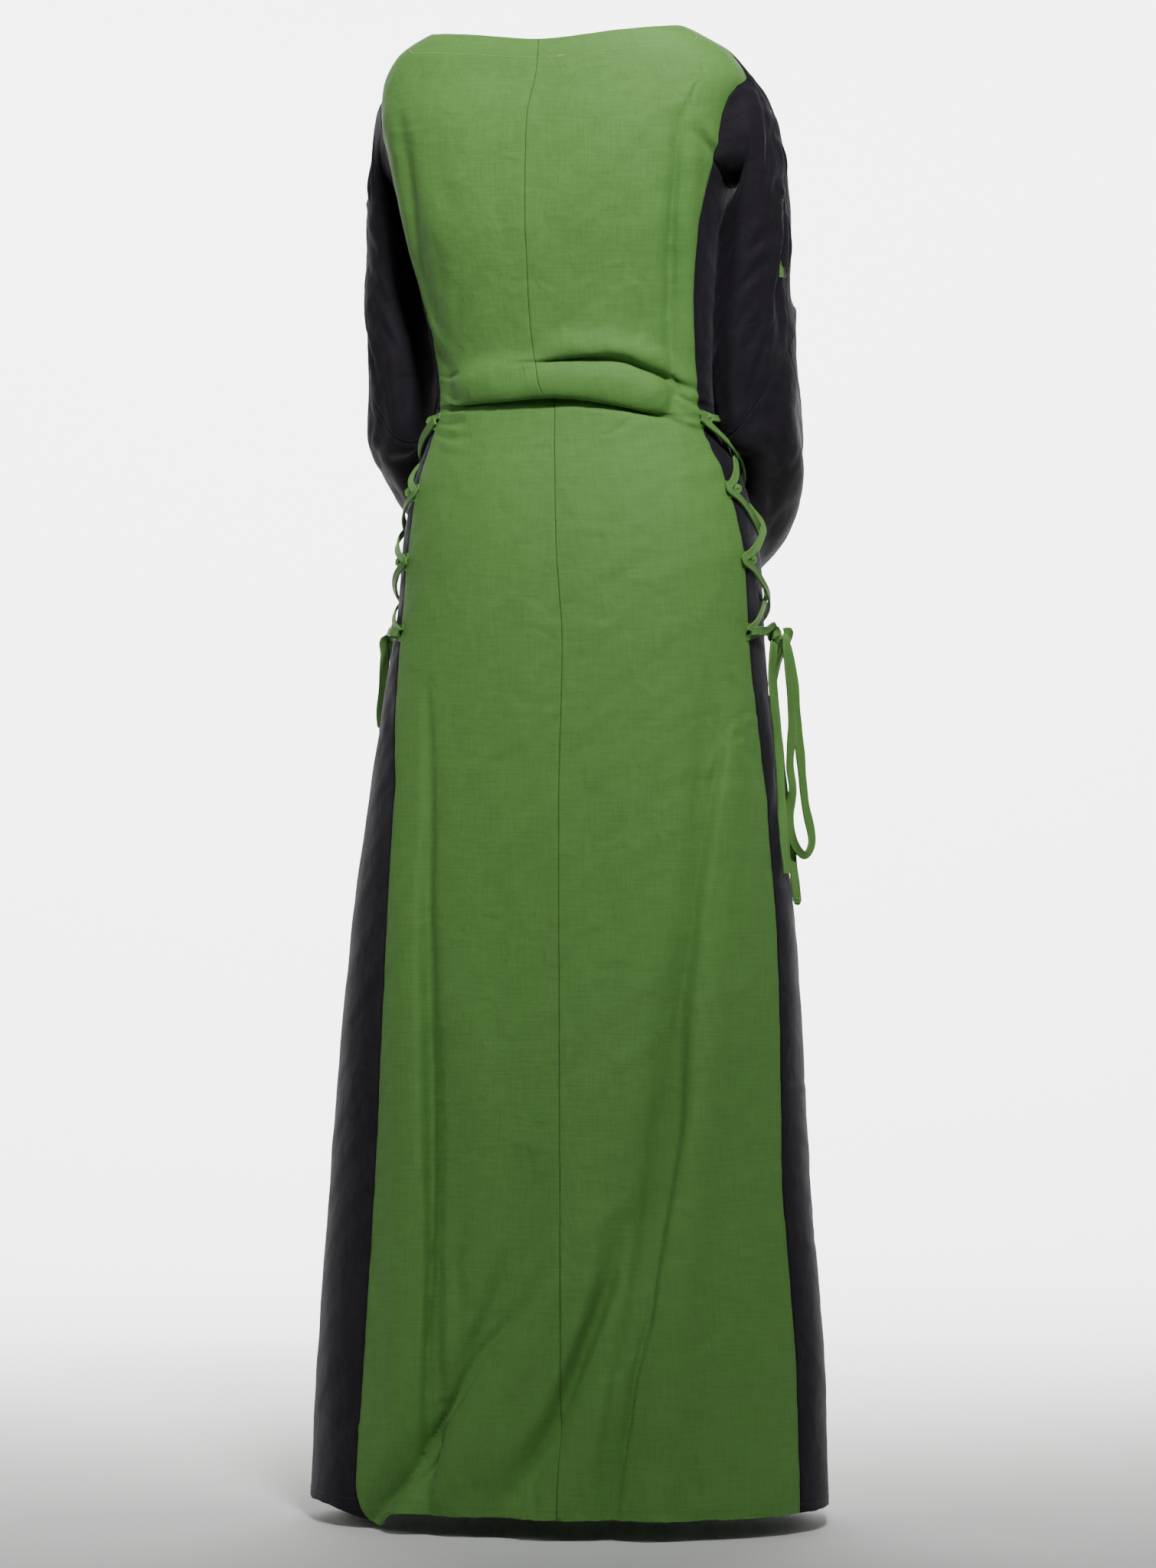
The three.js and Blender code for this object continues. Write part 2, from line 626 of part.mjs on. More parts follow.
function sleeveGrid(side, places) {
  const columns = ARMHOLE.map((column, index) => ({
    turn: radians(column.turn),
    start: armholePoint(side, index),
  }));
  const grid = places.map((place) => columns.map(
    (column) => sleevePoint(side, column.turn, column.start.point, place)));
  const rows = grid.map((row, i) => row.map((point, j) => {
    if (places[i] === 0) {
      return { point, normal: columns[j].start.normal };
    }
    const last = row.length - 1;
    const right = j === last ? row[1] : row[j + 1];
    const left = j === 0 ? row[last - 1] : row[j - 1];
    const column = columns[j];
    const above = sleevePoint(side, column.turn, column.start.point, places[i] - 0.05);
    const below = sleevePoint(side, column.turn, column.start.point,
      Math.min(places[i] + 0.05, CUFF_RING));
    const normal = right.clone().sub(left).cross(below.sub(above)).normalize();
    const centre = row.reduce((sum, each) => sum.add(each), new THREE.Vector3())
      .divideScalar(row.length);
    if (normal.dot(point.clone().sub(centre)) < 0) {
      normal.negate();
    }
    return { point, normal };
  }));
  rows.forEach((row, i) => row.forEach((spot, j) => {
    spot.point.addScaledVector(spot.normal, sleeveFoldsAt(columns[j].turn, places[i]));
  }));
  rows.forEach((row, i) => {
    const half = slashWidth(places[i]) / 2;
    const last = row.length - 1;
    for (const [edge, next] of [[0, 1], [last, last - 1]]) {
      const step = row[next].point.clone().sub(row[edge].point);
      row[edge] = {
        point: row[edge].point.clone().addScaledVector(step, half / step.length()),
        normal: row[edge].normal,
      };
    }
  });
  return rows;
}

const SEAM_STEP = 0.012;
const UPPER_PLACES = [
  0, 0.4, 0.8, 1.1, 1.23, 1.36, 1.46, 1.67, 1.88, 2.2, 2.5, 2.75, 3, 3.25, 3.5,
  4, 4.5, 5, 5.5, ELBOW_SEAM_RING - SEAM_STEP,
];
const LOWER_PLACES = [ELBOW_SEAM_RING + SEAM_STEP, 6.5, 7, 7.5, 8, 8.5, 9, 9.5, CUFF_RING];

// The green strip lies under the slashed seam, a little wider than its openings
const STRIP_TOP = 1.05;
const STRIP_LOW = 3.7;
const STRIP_STEPS = 10;
const STRIP_TURNS = [112, 102, 92, 82, 72];

// Where the armhole would be met at a turn between two columns
function armholeBetween(side, turn) {
  const around = turn > ARMHOLE[0].turn ? turn - 360 : turn;
  let index = 0;
  while (index < ARMHOLE.length - 2 && ARMHOLE[index + 1].turn > around) {
    index += 1;
  }
  const span = ARMHOLE[index].turn - ARMHOLE[index + 1].turn;
  const part = (ARMHOLE[index].turn - around) / span;
  return armholePoint(side, index).point.lerp(armholePoint(side, index + 1).point, part);
}

function slashStrip(side) {
  const inward = -(WALL + 4 * SEAM_GAP);
  const rows = [];
  for (let i = 0; i <= STRIP_STEPS; i += 1) {
    const place = THREE.MathUtils.lerp(STRIP_TOP, STRIP_LOW, i / STRIP_STEPS);
    const at = (turn, where) => sleevePoint(side, radians(turn), armholeBetween(side, turn), where);
    const centre = at(90, place).add(at(-90, place)).multiplyScalar(0.5);
    rows.push(STRIP_TURNS.map((turn) => {
      const point = at(turn, place);
      const round = at(turn + 3, place).sub(at(turn - 3, place));
      const down = at(turn, place + 0.05).sub(at(turn, place - 0.05));
      const normal = round.cross(down).normalize();
      if (normal.dot(point.clone().sub(centre)) < 0) {
        normal.negate();
      }
      const sink = inward + sleeveFoldsAt(radians(turn), place);
      return { point: point.addScaledVector(normal, sink), normal };
    }));
  }
  return wallOf(rows, WALL);
}

// Laces

function tubeAlong(points, steps) {
  const section = new THREE.Shape();
  for (let i = 0; i < 8; i += 1) {
    const angle = (i + 0.5) * Math.PI / 4;
    const x = LACE_DIAMETER / 2 * Math.cos(angle);
    const y = LACE_DIAMETER / 2 * Math.sin(angle);
    if (i === 0) {
      section.moveTo(x, y);
    } else {
      section.lineTo(x, y);
    }
  }
  const path = new THREE.CatmullRomCurve3(points, false, 'centripetal');
  return new THREE.ExtrudeGeometry(section, { steps, extrudePath: path, bevelEnabled: false });
}

function solidOf(geometry) {
  const bare = geometry.clone();
  bare.deleteAttribute('normal');
  bare.deleteAttribute('uv');
  const merged = mergeVertices(bare, 1e-4);
  return new wasm.Manifold(new wasm.Mesh({
    numProp: 3,
    vertProperties: new Float32Array(merged.attributes.position.array),
    triVerts: new Uint32Array(merged.index.array),
  }));
}

function geometryOf(solid) {
  const mesh = solid.getMesh();
  const geometry = new THREE.BufferGeometry();
  geometry.setAttribute('position', new THREE.Float32BufferAttribute(mesh.vertProperties, 3));
  geometry.setIndex(Array.from(mesh.triVerts));
  return geometry;
}

// A route place is degrees from centre back, height, and the height of the lace's centre line
// above the middle of the cloth
const LACE_OUT = WALL / 2 + SEAM_GAP + LACE_DIAMETER / 2 + 0.9;
const UNDER_CROSS_OUT = LACE_OUT;
const OVER_CROSS_OUT = LACE_OUT + LACE_DIAMETER / 2;

function eyelet(side, edge, number) {
  const z = EYELET_Z[number];
  const back = straightValue(SEAMS, side.back, z) - EYELET_INSET;
  const front = 180 - straightValue(SEAMS, side.front, z) + EYELET_INSET;
  return [edge === 'back' ? back : front, z, LACE_OUT];
}

function strandRoute(side, firstEdge, crossOut) {
  const other = { back: 'front', front: 'back' };
  const route = [];
  let edge = firstEdge;
  for (let number = 0; number < EYELET_Z.length; number += 1) {
    const here = eyelet(side, edge, number);
    route.push(here);
    if (number + 1 < EYELET_Z.length) {
      const next = eyelet(side, other[edge], number + 1);
      for (let part = 0.125; part < 1; part += 0.125) {
        const turn = THREE.MathUtils.lerp(here[0], next[0], part);
        const z = THREE.MathUtils.lerp(here[1], next[1], part);
        const lift = Math.sin(Math.PI * part) ** 2;
        route.push([turn, z, THREE.MathUtils.lerp(LACE_OUT, crossOut, lift)]);
      }
      edge = other[edge];
    }
  }
  return { route, lastEdge: edge };
}

const KNOT_OUT = WALL / 2 + SEAM_GAP + KNOT_RADIUS;

function knotCentre(side) {
  return onBody(-side.sign * KNOT_PLACE.turn, KNOT_PLACE.z, KNOT_OUT);
}

// Two places on the line on which a lace leaves the knot, from its direction towards the
// dress's front, down and out from the cloth
function knotExit(side, [forward, down, out]) {
  const outward = bodyNormal(-side.sign * radians(KNOT_PLACE.turn), KNOT_PLACE.z);
  outward.setZ(0).normalize();
  const ahead = new THREE.Vector3(outward.y, -outward.x, 0);
  if (ahead.y > 0) {
    ahead.negate();
  }
  const way = ahead.multiplyScalar(forward).addScaledVector(outward, out);
  way.z = -down;
  way.normalize();
  const from = knotCentre(side);
  return [KNOT_RADIUS + SEAM_GAP, KNOT_RADIUS + SEAM_GAP + LACE_DIAMETER].map(
    (distance) => from.clone().addScaledVector(way, distance));
}

// A lace's points: a place that leaves the knot gives two, so that the lace starts square to it
function routePoints(side, route) {
  return route.flatMap((spot, index) => {
    if (!spot.leaves) {
      return [onBody(-side.sign * spot[0], spot[1], spot[2])];
    }
    const pair = knotExit(side, spot.leaves);
    return index === 0 ? pair : pair.reverse();
  });
}

function lacing(side) {
  const strands = [
    strandRoute(side, 'back', OVER_CROSS_OUT),
    strandRoute(side, 'front', UNDER_CROSS_OUT),
  ];
  const solids = strands.map(({ route, lastEdge }) => {
    const eyeletPlace = route[route.length - 1];
    for (const part of [0.2, 0.4, 0.6]) {
      const turn = THREE.MathUtils.lerp(eyeletPlace[0], KNOT_PLACE.turn, part);
      const out = THREE.MathUtils.lerp(LACE_OUT, KNOT_OUT, part);
      route.push([turn, THREE.MathUtils.lerp(eyeletPlace[1], KNOT_PLACE.z + 5, part), out]);
    }
    route.push({ leaves: [lastEdge === 'back' ? -8 : 8, -5, 0] });
    return solidOf(tubeAlong(routePoints(side, route), LACING_STEPS));
  });
  const back = eyelet(side, 'back', 0);
  const front = eyelet(side, 'front', 0);
  const barPoints = [0, 0.25, 0.5, 0.75, 1].map((part) => {
    const turn = THREE.MathUtils.lerp(back[0], front[0], part);
    return [turn, EYELET_Z[0], LACE_OUT];
  });
  const bar = solidOf(tubeAlong(routePoints(side, barPoints), BAR_STEPS));
  return geometryOf(solids[0].add(solids[1]).add(bar));
}

function knot(side) {
  const geometry = new THREE.IcosahedronGeometry(KNOT_RADIUS, 1);
  const centre = knotCentre(side);
  geometry.translate(centre.x, centre.y, centre.z);
  return geometry;
}

// Routes of the bow: degrees round from centre back, height, and distance from the cloth's
// middle. The right bow hangs as seen, the left one hangs in front of its side, unseen.
const BOW_ROUTES = {
  right: {
    bow_loop_long: {
      steps: 30,
      points: [
        { leaves: [-6, 3, 8] }, [92.5, -604, 24], [92.5, -640, 24], [93.5, -680, 22], [93.5, -722, 15],
        [93.5, -745, 15], [94, -771, 8], [94.5, -796, 9], [97, -811, 18], [100, -800, 28],
        [100, -759, 26], [99, -710, 26], [98.5, -680, 26], [97.5, -640, 27], [96.6, -612, 25],
        { leaves: [1, 6.5, 8] },
      ],
    },
    bow_loop_short: {
      steps: 18,
      points: [
        { leaves: [9.5, 3, 3] }, [101, -620, 10], [103, -655, 8], [103.5, -690, 8], [105.5, -708, 9],
        [108, -694, 10], [107.5, -655, 10], [104.5, -620, 16], { leaves: [4.5, -1.5, 9.5] },
      ],
    },
    lace_end_short: {
      steps: 16,
      points: [
        { leaves: [-6, 8.5, 0] }, [92.5, -630, 7], [91.5, -665, 7], [92.5, -698, 6.5], [89.5, -747, 6],
        [87, -794, 6], [86, -827, 6.5],
      ],
    },
    lace_end_long: {
      steps: 18,
      points: [
        { leaves: [5, 8.5, 0] }, [97.5, -616, 8], [98.5, -660, 7], [99, -700, 6], [98.5, -760, 6],
        [97.5, -810, 6], [96, -855, 6],
      ],
    },
  },
  left: {
    bow_loop_long: {
      steps: 22,
      points: [
        { leaves: [9.5, 3, 3] }, [101.5, -625, 9], [104, -680, 8], [104, -730, 8], [106, -756, 9],
        [109, -738, 9], [109.5, -680, 9], [105.5, -625, 15], { leaves: [4.5, -1.5, 9.5] },
      ],
    },
    bow_loop_short: {
      steps: 16,
      points: [
        { leaves: [-6, 3, 8] }, [92.5, -610, 18], [91.5, -640, 13], [92.5, -672, 12], [95, -686, 12],
        [96.5, -665, 16], [96.6, -632, 23], [96.4, -612, 24], { leaves: [1, 6.5, 8] },
      ],
    },
    lace_end_short: {
      steps: 15,
      points: [
        { leaves: [-6, 8.5, 0] }, [93, -630, 6], [93, -665, 6], [93.5, -700, 6], [94, -745, 6],
        [94.5, -790, 6], [95, -820, 6],
      ],
    },
    lace_end_long: {
      steps: 17,
      points: [
        { leaves: [5, 8.5, 0] }, [98, -616, 7], [98.5, -660, 6], [98.5, -700, 6], [99, -760, 6],
        [99.5, -810, 6], [100, -850, 6],
      ],
    },
  },
};

addPiece('front', frontPanel(), GREEN);
for (const side of SIDES) {
  addPiece(`back_${side.name}`, backPanel(side), GREEN);
  addPiece(`side_panel_${side.name}`, sidePanel(side), DARK);
  addPiece(`sleeve_upper_${side.name}`, wallOf(sleeveGrid(side, UPPER_PLACES), WALL), DARK);
  addPiece(`sleeve_lower_${side.name}`, wallOf(sleeveGrid(side, LOWER_PLACES), WALL), DARK);
  addPiece(`slash_${side.name}`, slashStrip(side), GREEN);
  addPiece(`lacing_${side.name}`, lacing(side), GREEN);
  addPiece(`knot_${side.name}`, knot(side), GREEN);
  for (const [name, route] of Object.entries(BOW_ROUTES[side.name])) {
    const points = routePoints(side, route.points);
    addPiece(`${name}_${side.name}`, tubeAlong(points, route.steps), GREEN);
  }
}

export default dress;
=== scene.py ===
import math

import bpy
import numpy as np
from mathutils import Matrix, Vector


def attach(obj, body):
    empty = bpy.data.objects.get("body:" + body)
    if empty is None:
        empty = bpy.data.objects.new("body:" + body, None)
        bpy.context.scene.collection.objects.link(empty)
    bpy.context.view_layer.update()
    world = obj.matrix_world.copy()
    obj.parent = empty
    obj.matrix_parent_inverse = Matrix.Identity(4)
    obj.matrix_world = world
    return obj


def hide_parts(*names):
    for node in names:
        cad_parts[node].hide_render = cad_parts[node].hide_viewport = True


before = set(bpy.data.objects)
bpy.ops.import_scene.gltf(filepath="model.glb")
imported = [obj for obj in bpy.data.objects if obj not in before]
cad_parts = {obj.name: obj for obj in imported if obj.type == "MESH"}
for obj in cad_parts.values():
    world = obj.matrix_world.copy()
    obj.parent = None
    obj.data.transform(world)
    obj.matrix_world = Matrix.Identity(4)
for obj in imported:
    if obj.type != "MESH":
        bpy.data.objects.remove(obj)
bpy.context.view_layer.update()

MM = 0.001

# The view
# The dress is seen from behind and a little from its right, level with its middle and from
# far enough away that its hem and its shoulders are at one scale.
VIEW_TURN = math.radians(16)
CAMERA_AWAY = 6
CAMERA_LENS = 137.8
view_middle = Vector((-0.0074, -0.0021, -0.738))
view_way = Vector((-math.sin(VIEW_TURN), math.cos(VIEW_TURN), 0))
bpy.ops.object.camera_add(location=view_middle + CAMERA_AWAY * view_way)
camera = bpy.context.object
camera.name = "view_from_behind"
camera.rotation_euler = (-view_way).to_track_quat("-Z", "Y").to_euler()
camera.data.lens = CAMERA_LENS
bpy.context.scene.camera = camera

# The form of the dress as it is worn, which its laces and panels follow
# Level sections: how far it is seen to reach left and right from the view's middle, how deep
# it is behind and in front of its own middle, where that lies, and how square it is. All mm.
WALL = 2
SEAM_GAP = 0.3
HEM_Z = -1450
HEM_TAIL_DROP = 16
NECK_POINT_Z = 10
NECK_DROP_BACK = 14
NECK_DROP_FRONT = 40
SHOULDER_Z = -12
UNDERARM_Z = -124
UNDERARM_DIP = 22
SECTION_COLUMNS = ("z", "left", "right", "back", "front", "middle", "square")
SECTIONS = (
    (12, 131, 111, 52, 74, 40, 2.5),
    (-4, 160, 143, 64, 84, 32, 2.6),
    (-15, 173, 161, 72, 90, 27, 2.7),
    (-41, 186, 180, 88, 96, 15, 2.8),
    (-77, 188, 176, 101, 102, 8, 2.9),
    (-124, 178, 169, 109, 110, 2, 2.9),
    (-186, 164, 157, 108, 116, 0, 2.9),
    (-235, 152, 150, 101, 114, 0, 2.6),
    (-285, 141, 146, 94, 106, 0, 2.4),
    (-352, 132, 143, 84, 98, 0, 2.3),
    (-385, 139, 149, 88, 99, 0, 2.3),
    (-440, 157, 172, 103, 104, 0, 2.3),
    (-500, 167, 187, 116, 108, 0, 2.3),
    (-570, 172, 191, 124, 112, 0, 2.3),
    (-640, 184, 196, 128, 116, 0, 2.3),
    (-740, 199, 207, 135, 122, 0, 2.2),
    (-900, 221, 226, 148, 134, 0, 2.2),
    (-1130, 240, 242, 166, 150, 0, 2.2),
    (-1300, 252, 258, 182, 164, 0, 2.2),
    (HEM_Z, 260, 264, 196, 176, 0, 2.2),
)
# The long seams, in degrees round the body from its centre back and its centre front
SEAM_COLUMNS = ("z", "back_left", "back_right", "front_left", "front_right")
SEAMS = (
    (SHOULDER_Z, 90, 90, 90, 90),
    (-26, 90, 90, 81, 81),
    (-41, 90, 90, 77, 77),
    (-50, 83, 81, 75.5, 75.5),
    (-62, 79, 77, 74, 74),
    (-80, 77, 75, 72, 72),
    (-102, 76, 74, 71, 71),
    (UNDERARM_Z, 75, 73, 70, 70),
    (-186, 73, 69, 70, 70),
    (-235, 72, 70, 70, 70),
    (-285, 72, 72, 70, 70),
    (-352, 73, 76, 70, 70),
    (-385, 72, 78, 70, 70),
    (-480, 70, 79, 70, 68),
    (-570, 69, 80, 69, 66),
    (-740, 58, 81, 67, 61),
    (-900, 54, 79, 66, 58),
    (-1130, 51, 75, 64, 54),
    (HEM_Z, 50, 74, 62, 50),
)
CENTRE_BACK_COLUMNS = ("z", "turn")
CENTRE_BACK = (
    (NECK_POINT_Z, -4), (-90, -5), (-208, -6.5), (-294, -10), (-337, -6), (-354, 1),
    (-414, 3), (-506, 4), (-616, 9), (-740, 9.5), (-1130, 12), (HEM_Z, 11.5),
)
# The largest folds that run down: three seen places, depth at both ends, ridge, its side, width
FOLD_COLUMNS = ("top_x", "top_z", "bend_x", "bend_z", "low_x", "low_z",
                "depth_top", "depth_low", "ridge", "ridge_side", "width")
FOLDS_DOWN = {
    "left skirt fold": (-150, -640, -141, -1000, -142, HEM_Z, 2, 15, 7, -1, 13),
    "right skirt fold": (139, -640, 101, -1060, 44, HEM_Z, 3, 12, 8, 1, 16),
    "slanting hem fold": (-20, -1090, -77, -1285, -200, -1462, 1, 20, 9, 1, 20),
    "middle hem fold": (48, -1060, 21, -1284, -72, HEM_Z, 1, 9, 5, 1, 22),
    "left back fold": (-172, -60, -155, -190, -126, -330, 3, 5, 4, -1, 9),
    "right back fold": (108, -84, 101, -200, 101, -345, 4, 5, 4, 1, 9),
}
FOLDS_ACROSS = (
    {"x": (-150, -50, 40, 135), "z": (-360, -350, -357, -384),
     "bulge": 9, "bulge_height": 17, "trough": 7, "trough_height": 8},
    {"x": (-60, 0, 50, 145), "z": (-326, -315, -318, -365),
     "bulge": 5, "bulge_height": 11, "trough": 4, "trough_height": 6},
)
# How far each of these hangs down over the cloth below it
FOLD_DROPS = (8.5, 4)
# Soft flutes of the hidden sides, by degrees from the centre back
FLUTE_COLUMNS = ("turn", "width", "depth", "top")
FLUTES = (
    (-98, 9, -13, -640), (-122, 10, 12, -560), (-150, 12, -12, -620), (180, 13, 13, -560),
    (152, 11, -11, -700), (124, 9, 11, -600), (98, 8, -9, -640),
)


def column_of(names, rows, name):
    return np.array([row[names.index(name)] for row in rows], float)


def smooth_value(names, rows, name, z):
    levels = column_of(names, rows, "z")
    values = column_of(names, rows, name)
    z = np.clip(z, levels[-1], levels[0])
    last = len(levels) - 1
    i = np.clip(np.searchsorted(-levels, -z, side="right") - 1, 0, last - 1)
    before = np.maximum(i - 1, 0)
    after = np.minimum(i + 2, last)
    span = levels[i + 1] - levels[i]
    f = (z - levels[i]) / span
    start = (values[i + 1] - values[before]) / (levels[i + 1] - levels[before]) * span
    end = (values[after] - values[i]) / (levels[after] - levels[i]) * span
    f2 = f * f
    f3 = f2 * f
    return (values[i] * (2 * f3 - 3 * f2 + 1) + start * (f3 - 2 * f2 + f)
            + values[i + 1] * (3 * f2 - 2 * f3) + end * (f3 - f2))


def straight_value(names, rows, name, z):
    levels = column_of(names, rows, "z")
    return np.interp(-np.asarray(z, float), -levels, column_of(names, rows, name))


def reach(half, depth, square):
    power = square / (square - 1)
    return ((math.cos(VIEW_TURN) * half) ** power
            + (math.sin(VIEW_TURN) * depth) ** power) ** (1 / power)


# Half the width and the middle of each level, from how far it is seen to reach
levels = np.arange(14.0, HEM_Z - 20, -1.0)
section = {name: smooth_value(SECTION_COLUMNS, SECTIONS, name, levels)
           for name in SECTION_COLUMNS[1:]}
narrow = np.full(len(levels), 20.0)
wide = np.full(len(levels), 500.0)
for step in range(40):
    half = (narrow + wide) / 2
    seen = (reach(half, section["back"], section["square"])
            + reach(half, section["front"], section["square"]))
    small = seen < section["left"] + section["right"]
    narrow = np.where(small, half, narrow)
    wide = np.where(small, wide, half)
section["half"] = narrow
section["x"] = ((section["left"] - math.sin(VIEW_TURN) * section["middle"]
                 - reach(narrow, section["back"], section["square"])) / math.cos(VIEW_TURN))


def level_value(name, z):
    return np.interp(-z, -levels, section[name])


def bump(distance, width):
    return np.exp(-((distance / width) ** 2))


def smoothstep(value, low, high):
    t = np.clip((value - low) / (high - low), 0, 1)
    return t * t * (3 - 2 * t)


def curve_through(xs, ys, x):
    x = np.clip(x, xs[0], xs[-1])
    total = 0
    for i in range(len(xs)):
        term = ys[i] * np.ones_like(x)
        for j in range(len(xs)):
            if j != i:
                term = term * (x - xs[j]) / (xs[i] - xs[j])
        total = total + term
    return total


def seen_from_behind(x, y):
    return -math.cos(VIEW_TURN) * x - math.sin(VIEW_TURN) * y


def folds_at(x, y, z, turn):
    seen = seen_from_behind(x, y)
    facing = smoothstep(np.cos(turn - VIEW_TURN), 0.02, 0.35)
    move = np.zeros_like(z)
    for row in FOLDS_DOWN.values():
        fold = dict(zip(FOLD_COLUMNS, row))
        path = curve_through((fold["low_z"], fold["bend_z"], fold["top_z"]),
                             (fold["low_x"], fold["bend_x"], fold["top_x"]), z)
        down = np.clip((fold["top_z"] - z) / (fold["top_z"] - fold["low_z"]), 0, 1)
        start = smoothstep(fold["top_z"] - z, -40, 60)
        end = smoothstep(z - fold["low_z"], -60, -5)
        away = seen - path
        depth = fold["depth_top"] + (fold["depth_low"] - fold["depth_top"]) * down
        ridge = fold["ridge"] * depth / fold["depth_low"]
        width = fold["width"] * (0.8 + 0.4 * down)
        move += start * end * (ridge * bump(away - fold["ridge_side"] * 1.7 * width, 1.2 * width)
                               - depth * bump(away, width))
    for fold in FOLDS_ACROSS:
        above = z - curve_through(fold["x"], fold["z"], seen)
        inside = (smoothstep(seen, fold["x"][0] + 20, fold["x"][0] + 60)
                  * (1 - smoothstep(seen, fold["x"][3] - 60, fold["x"][3] - 20)))
        move += inside * (
            fold["bulge"] * bump(above - 0.8 * fold["bulge_height"], fold["bulge_height"])
            - fold["trough"] * bump(above + 0.5 * fold["trough_height"], fold["trough_height"]))
    return move * facing


def flutes_at(turn, z):
    move = np.zeros_like(z)
    for row in FLUTES:
        flute = dict(zip(FLUTE_COLUMNS, row))
        away = np.mod(np.degrees(turn) - flute["turn"] + 180, 360) - 180
        down = np.clip((flute["top"] - z) / (flute["top"] - HEM_Z), 0, 1)
        move += flute["depth"] * down ** 1.3 * bump(away, flute["width"])
    return move


def body_point(turn, z):
    turn, z = np.broadcast_arrays(np.asarray(turn, float), np.asarray(z, float))
    row = {name: level_value(name, z) for name in ("x", "middle", "half", "square")}
    depth = np.where(np.cos(turn) > 0, level_value("back", z), level_value("front", z))
    across = np.abs(np.sin(turn)) / row["half"]
    along = np.abs(np.cos(turn)) / depth
    radius = (across ** row["square"] + along ** row["square"]) ** (-1 / row["square"])
    x = row["x"] - radius * np.sin(turn)
    y = row["middle"] + radius * np.cos(turn)
    radius = radius + folds_at(x, y, z, turn) + flutes_at(turn, z)
    return np.stack([row["x"] - radius * np.sin(turn), row["middle"] + radius * np.cos(turn), z],
                    axis=-1)


def unit(vectors):
    return vectors / np.linalg.norm(vectors, axis=-1, keepdims=True)


def walked_along(points):
    """The way walked along a line up to each of its points."""
    return np.concatenate([[0], np.cumsum(np.linalg.norm(np.diff(points, axis=0), axis=1))])


def places_along(at, walked, points):
    """The places on a line at given lengths along it."""
    return np.stack([np.interp(at, walked, points[:, k]) for k in range(3)], axis=-1)


def body_normal(turn, z):
    turn, z = np.broadcast_arrays(np.asarray(turn, float), np.asarray(z, float))
    round_it = body_point(turn + 0.01, z) - body_point(turn - 0.01, z)
    down = body_point(turn, z - 2) - body_point(turn, z + 2)
    return -unit(np.cross(round_it, down))


# The laces
# Each is a flat tape of the green cloth, folded and stitched. It crosses the dark side panel
# through loops on the green edges, and its two free ends are tied in a bow at the hip.
LACE_TUBE = 6
TAPE_WIDTH = 9.5
TAPE_THICK = 2.8
TAPE_SHARP = 50
CROSSED_WIDTH = 8
LOOP_WIDTH = 6.2
# The tape's length, half its width and half its thickness in a turn of each kind of knot
BOW_KNOT_TAPE = (40, 3.4, 1.1)
END_KNOT_TAPE = (18, 3.0, 1.4)
KNOT_RADIUS = 10
KNOT_TURN = 96
KNOT_Z = -590
EYELET_Z = (-377, -448, -517, -588)
EYELET_INSET = 2
LACE_OUT = WALL / 2 + SEAM_GAP + LACE_TUBE / 2 + 0.9
KNOT_OUT = WALL / 2 + SEAM_GAP + KNOT_RADIUS
SIDES = (("left", 1), ("right", -1))
# Places of a bow's routes: degrees round from the centre back, height, height over the cloth.
# At the knot they are the direction that a tape leaves in: forward, down and out
BOW_ROUTES = {
    "right": {
        "bow_loop_long": (("leaves", -6, 3, 8), (
            (92.5, -604, 24), (92.5, -640, 24), (93.5, -680, 22), (93.5, -722, 15),
            (93.5, -745, 15), (94, -771, 8), (94.5, -796, 9), (97, -811, 18), (100, -800, 28),
            (100, -759, 26), (99, -710, 26), (98.5, -680, 26), (97.5, -640, 27),
            (96.6, -612, 25)), ("leaves", 1, 6.5, 8)),
        "bow_loop_short": (("leaves", 9.5, 3, 3), (
            (101, -620, 10), (103, -655, 8), (103.5, -690, 8), (105.5, -708, 9),
            (108, -694, 10), (107.5, -655, 10), (104.5, -620, 16)), ("leaves", 4.5, -1.5, 9.5)),
        "lace_end_short": (("leaves", -6, 8.5, 0), (
            (92.5, -630, 7), (91.5, -665, 7), (92.5, -698, 6.5), (89.5, -747, 6),
            (87, -794, 6), (86, -827, 6.5)), None),
        "lace_end_long": (("leaves", 5, 8.5, 0), (
            (97.5, -616, 8), (98.5, -660, 7), (99, -700, 6), (98.5, -760, 6),
            (97.5, -810, 6), (96, -855, 6)), None),
    },
    "left": {
        "bow_loop_long": (("leaves", 9.5, 3, 3), (
            (101.5, -625, 9), (104, -680, 8), (104, -730, 8), (106, -756, 9),
            (109, -738, 9), (109.5, -680, 9), (105.5, -625, 15)), ("leaves", 4.5, -1.5, 9.5)),
        "bow_loop_short": (("leaves", -6, 3, 8), (
            (92.5, -610, 18), (91.5, -640, 13), (92.5, -672, 12), (95, -686, 12),
            (96.5, -665, 16), (96.6, -632, 23), (96.4, -612, 24)), ("leaves", 1, 6.5, 8)),
        "lace_end_short": (("leaves", -6, 8.5, 0), (
            (93, -630, 6), (93, -665, 6), (93.5, -700, 6), (94, -745, 6),
            (94.5, -790, 6), (95, -820, 6)), None),
        "lace_end_long": (("leaves", 5, 8.5, 0), (
            (98, -616, 7), (98.5, -660, 6), (98.5, -700, 6), (99, -760, 6),
            (99.5, -810, 6), (100, -850, 6)), None),
    },
}


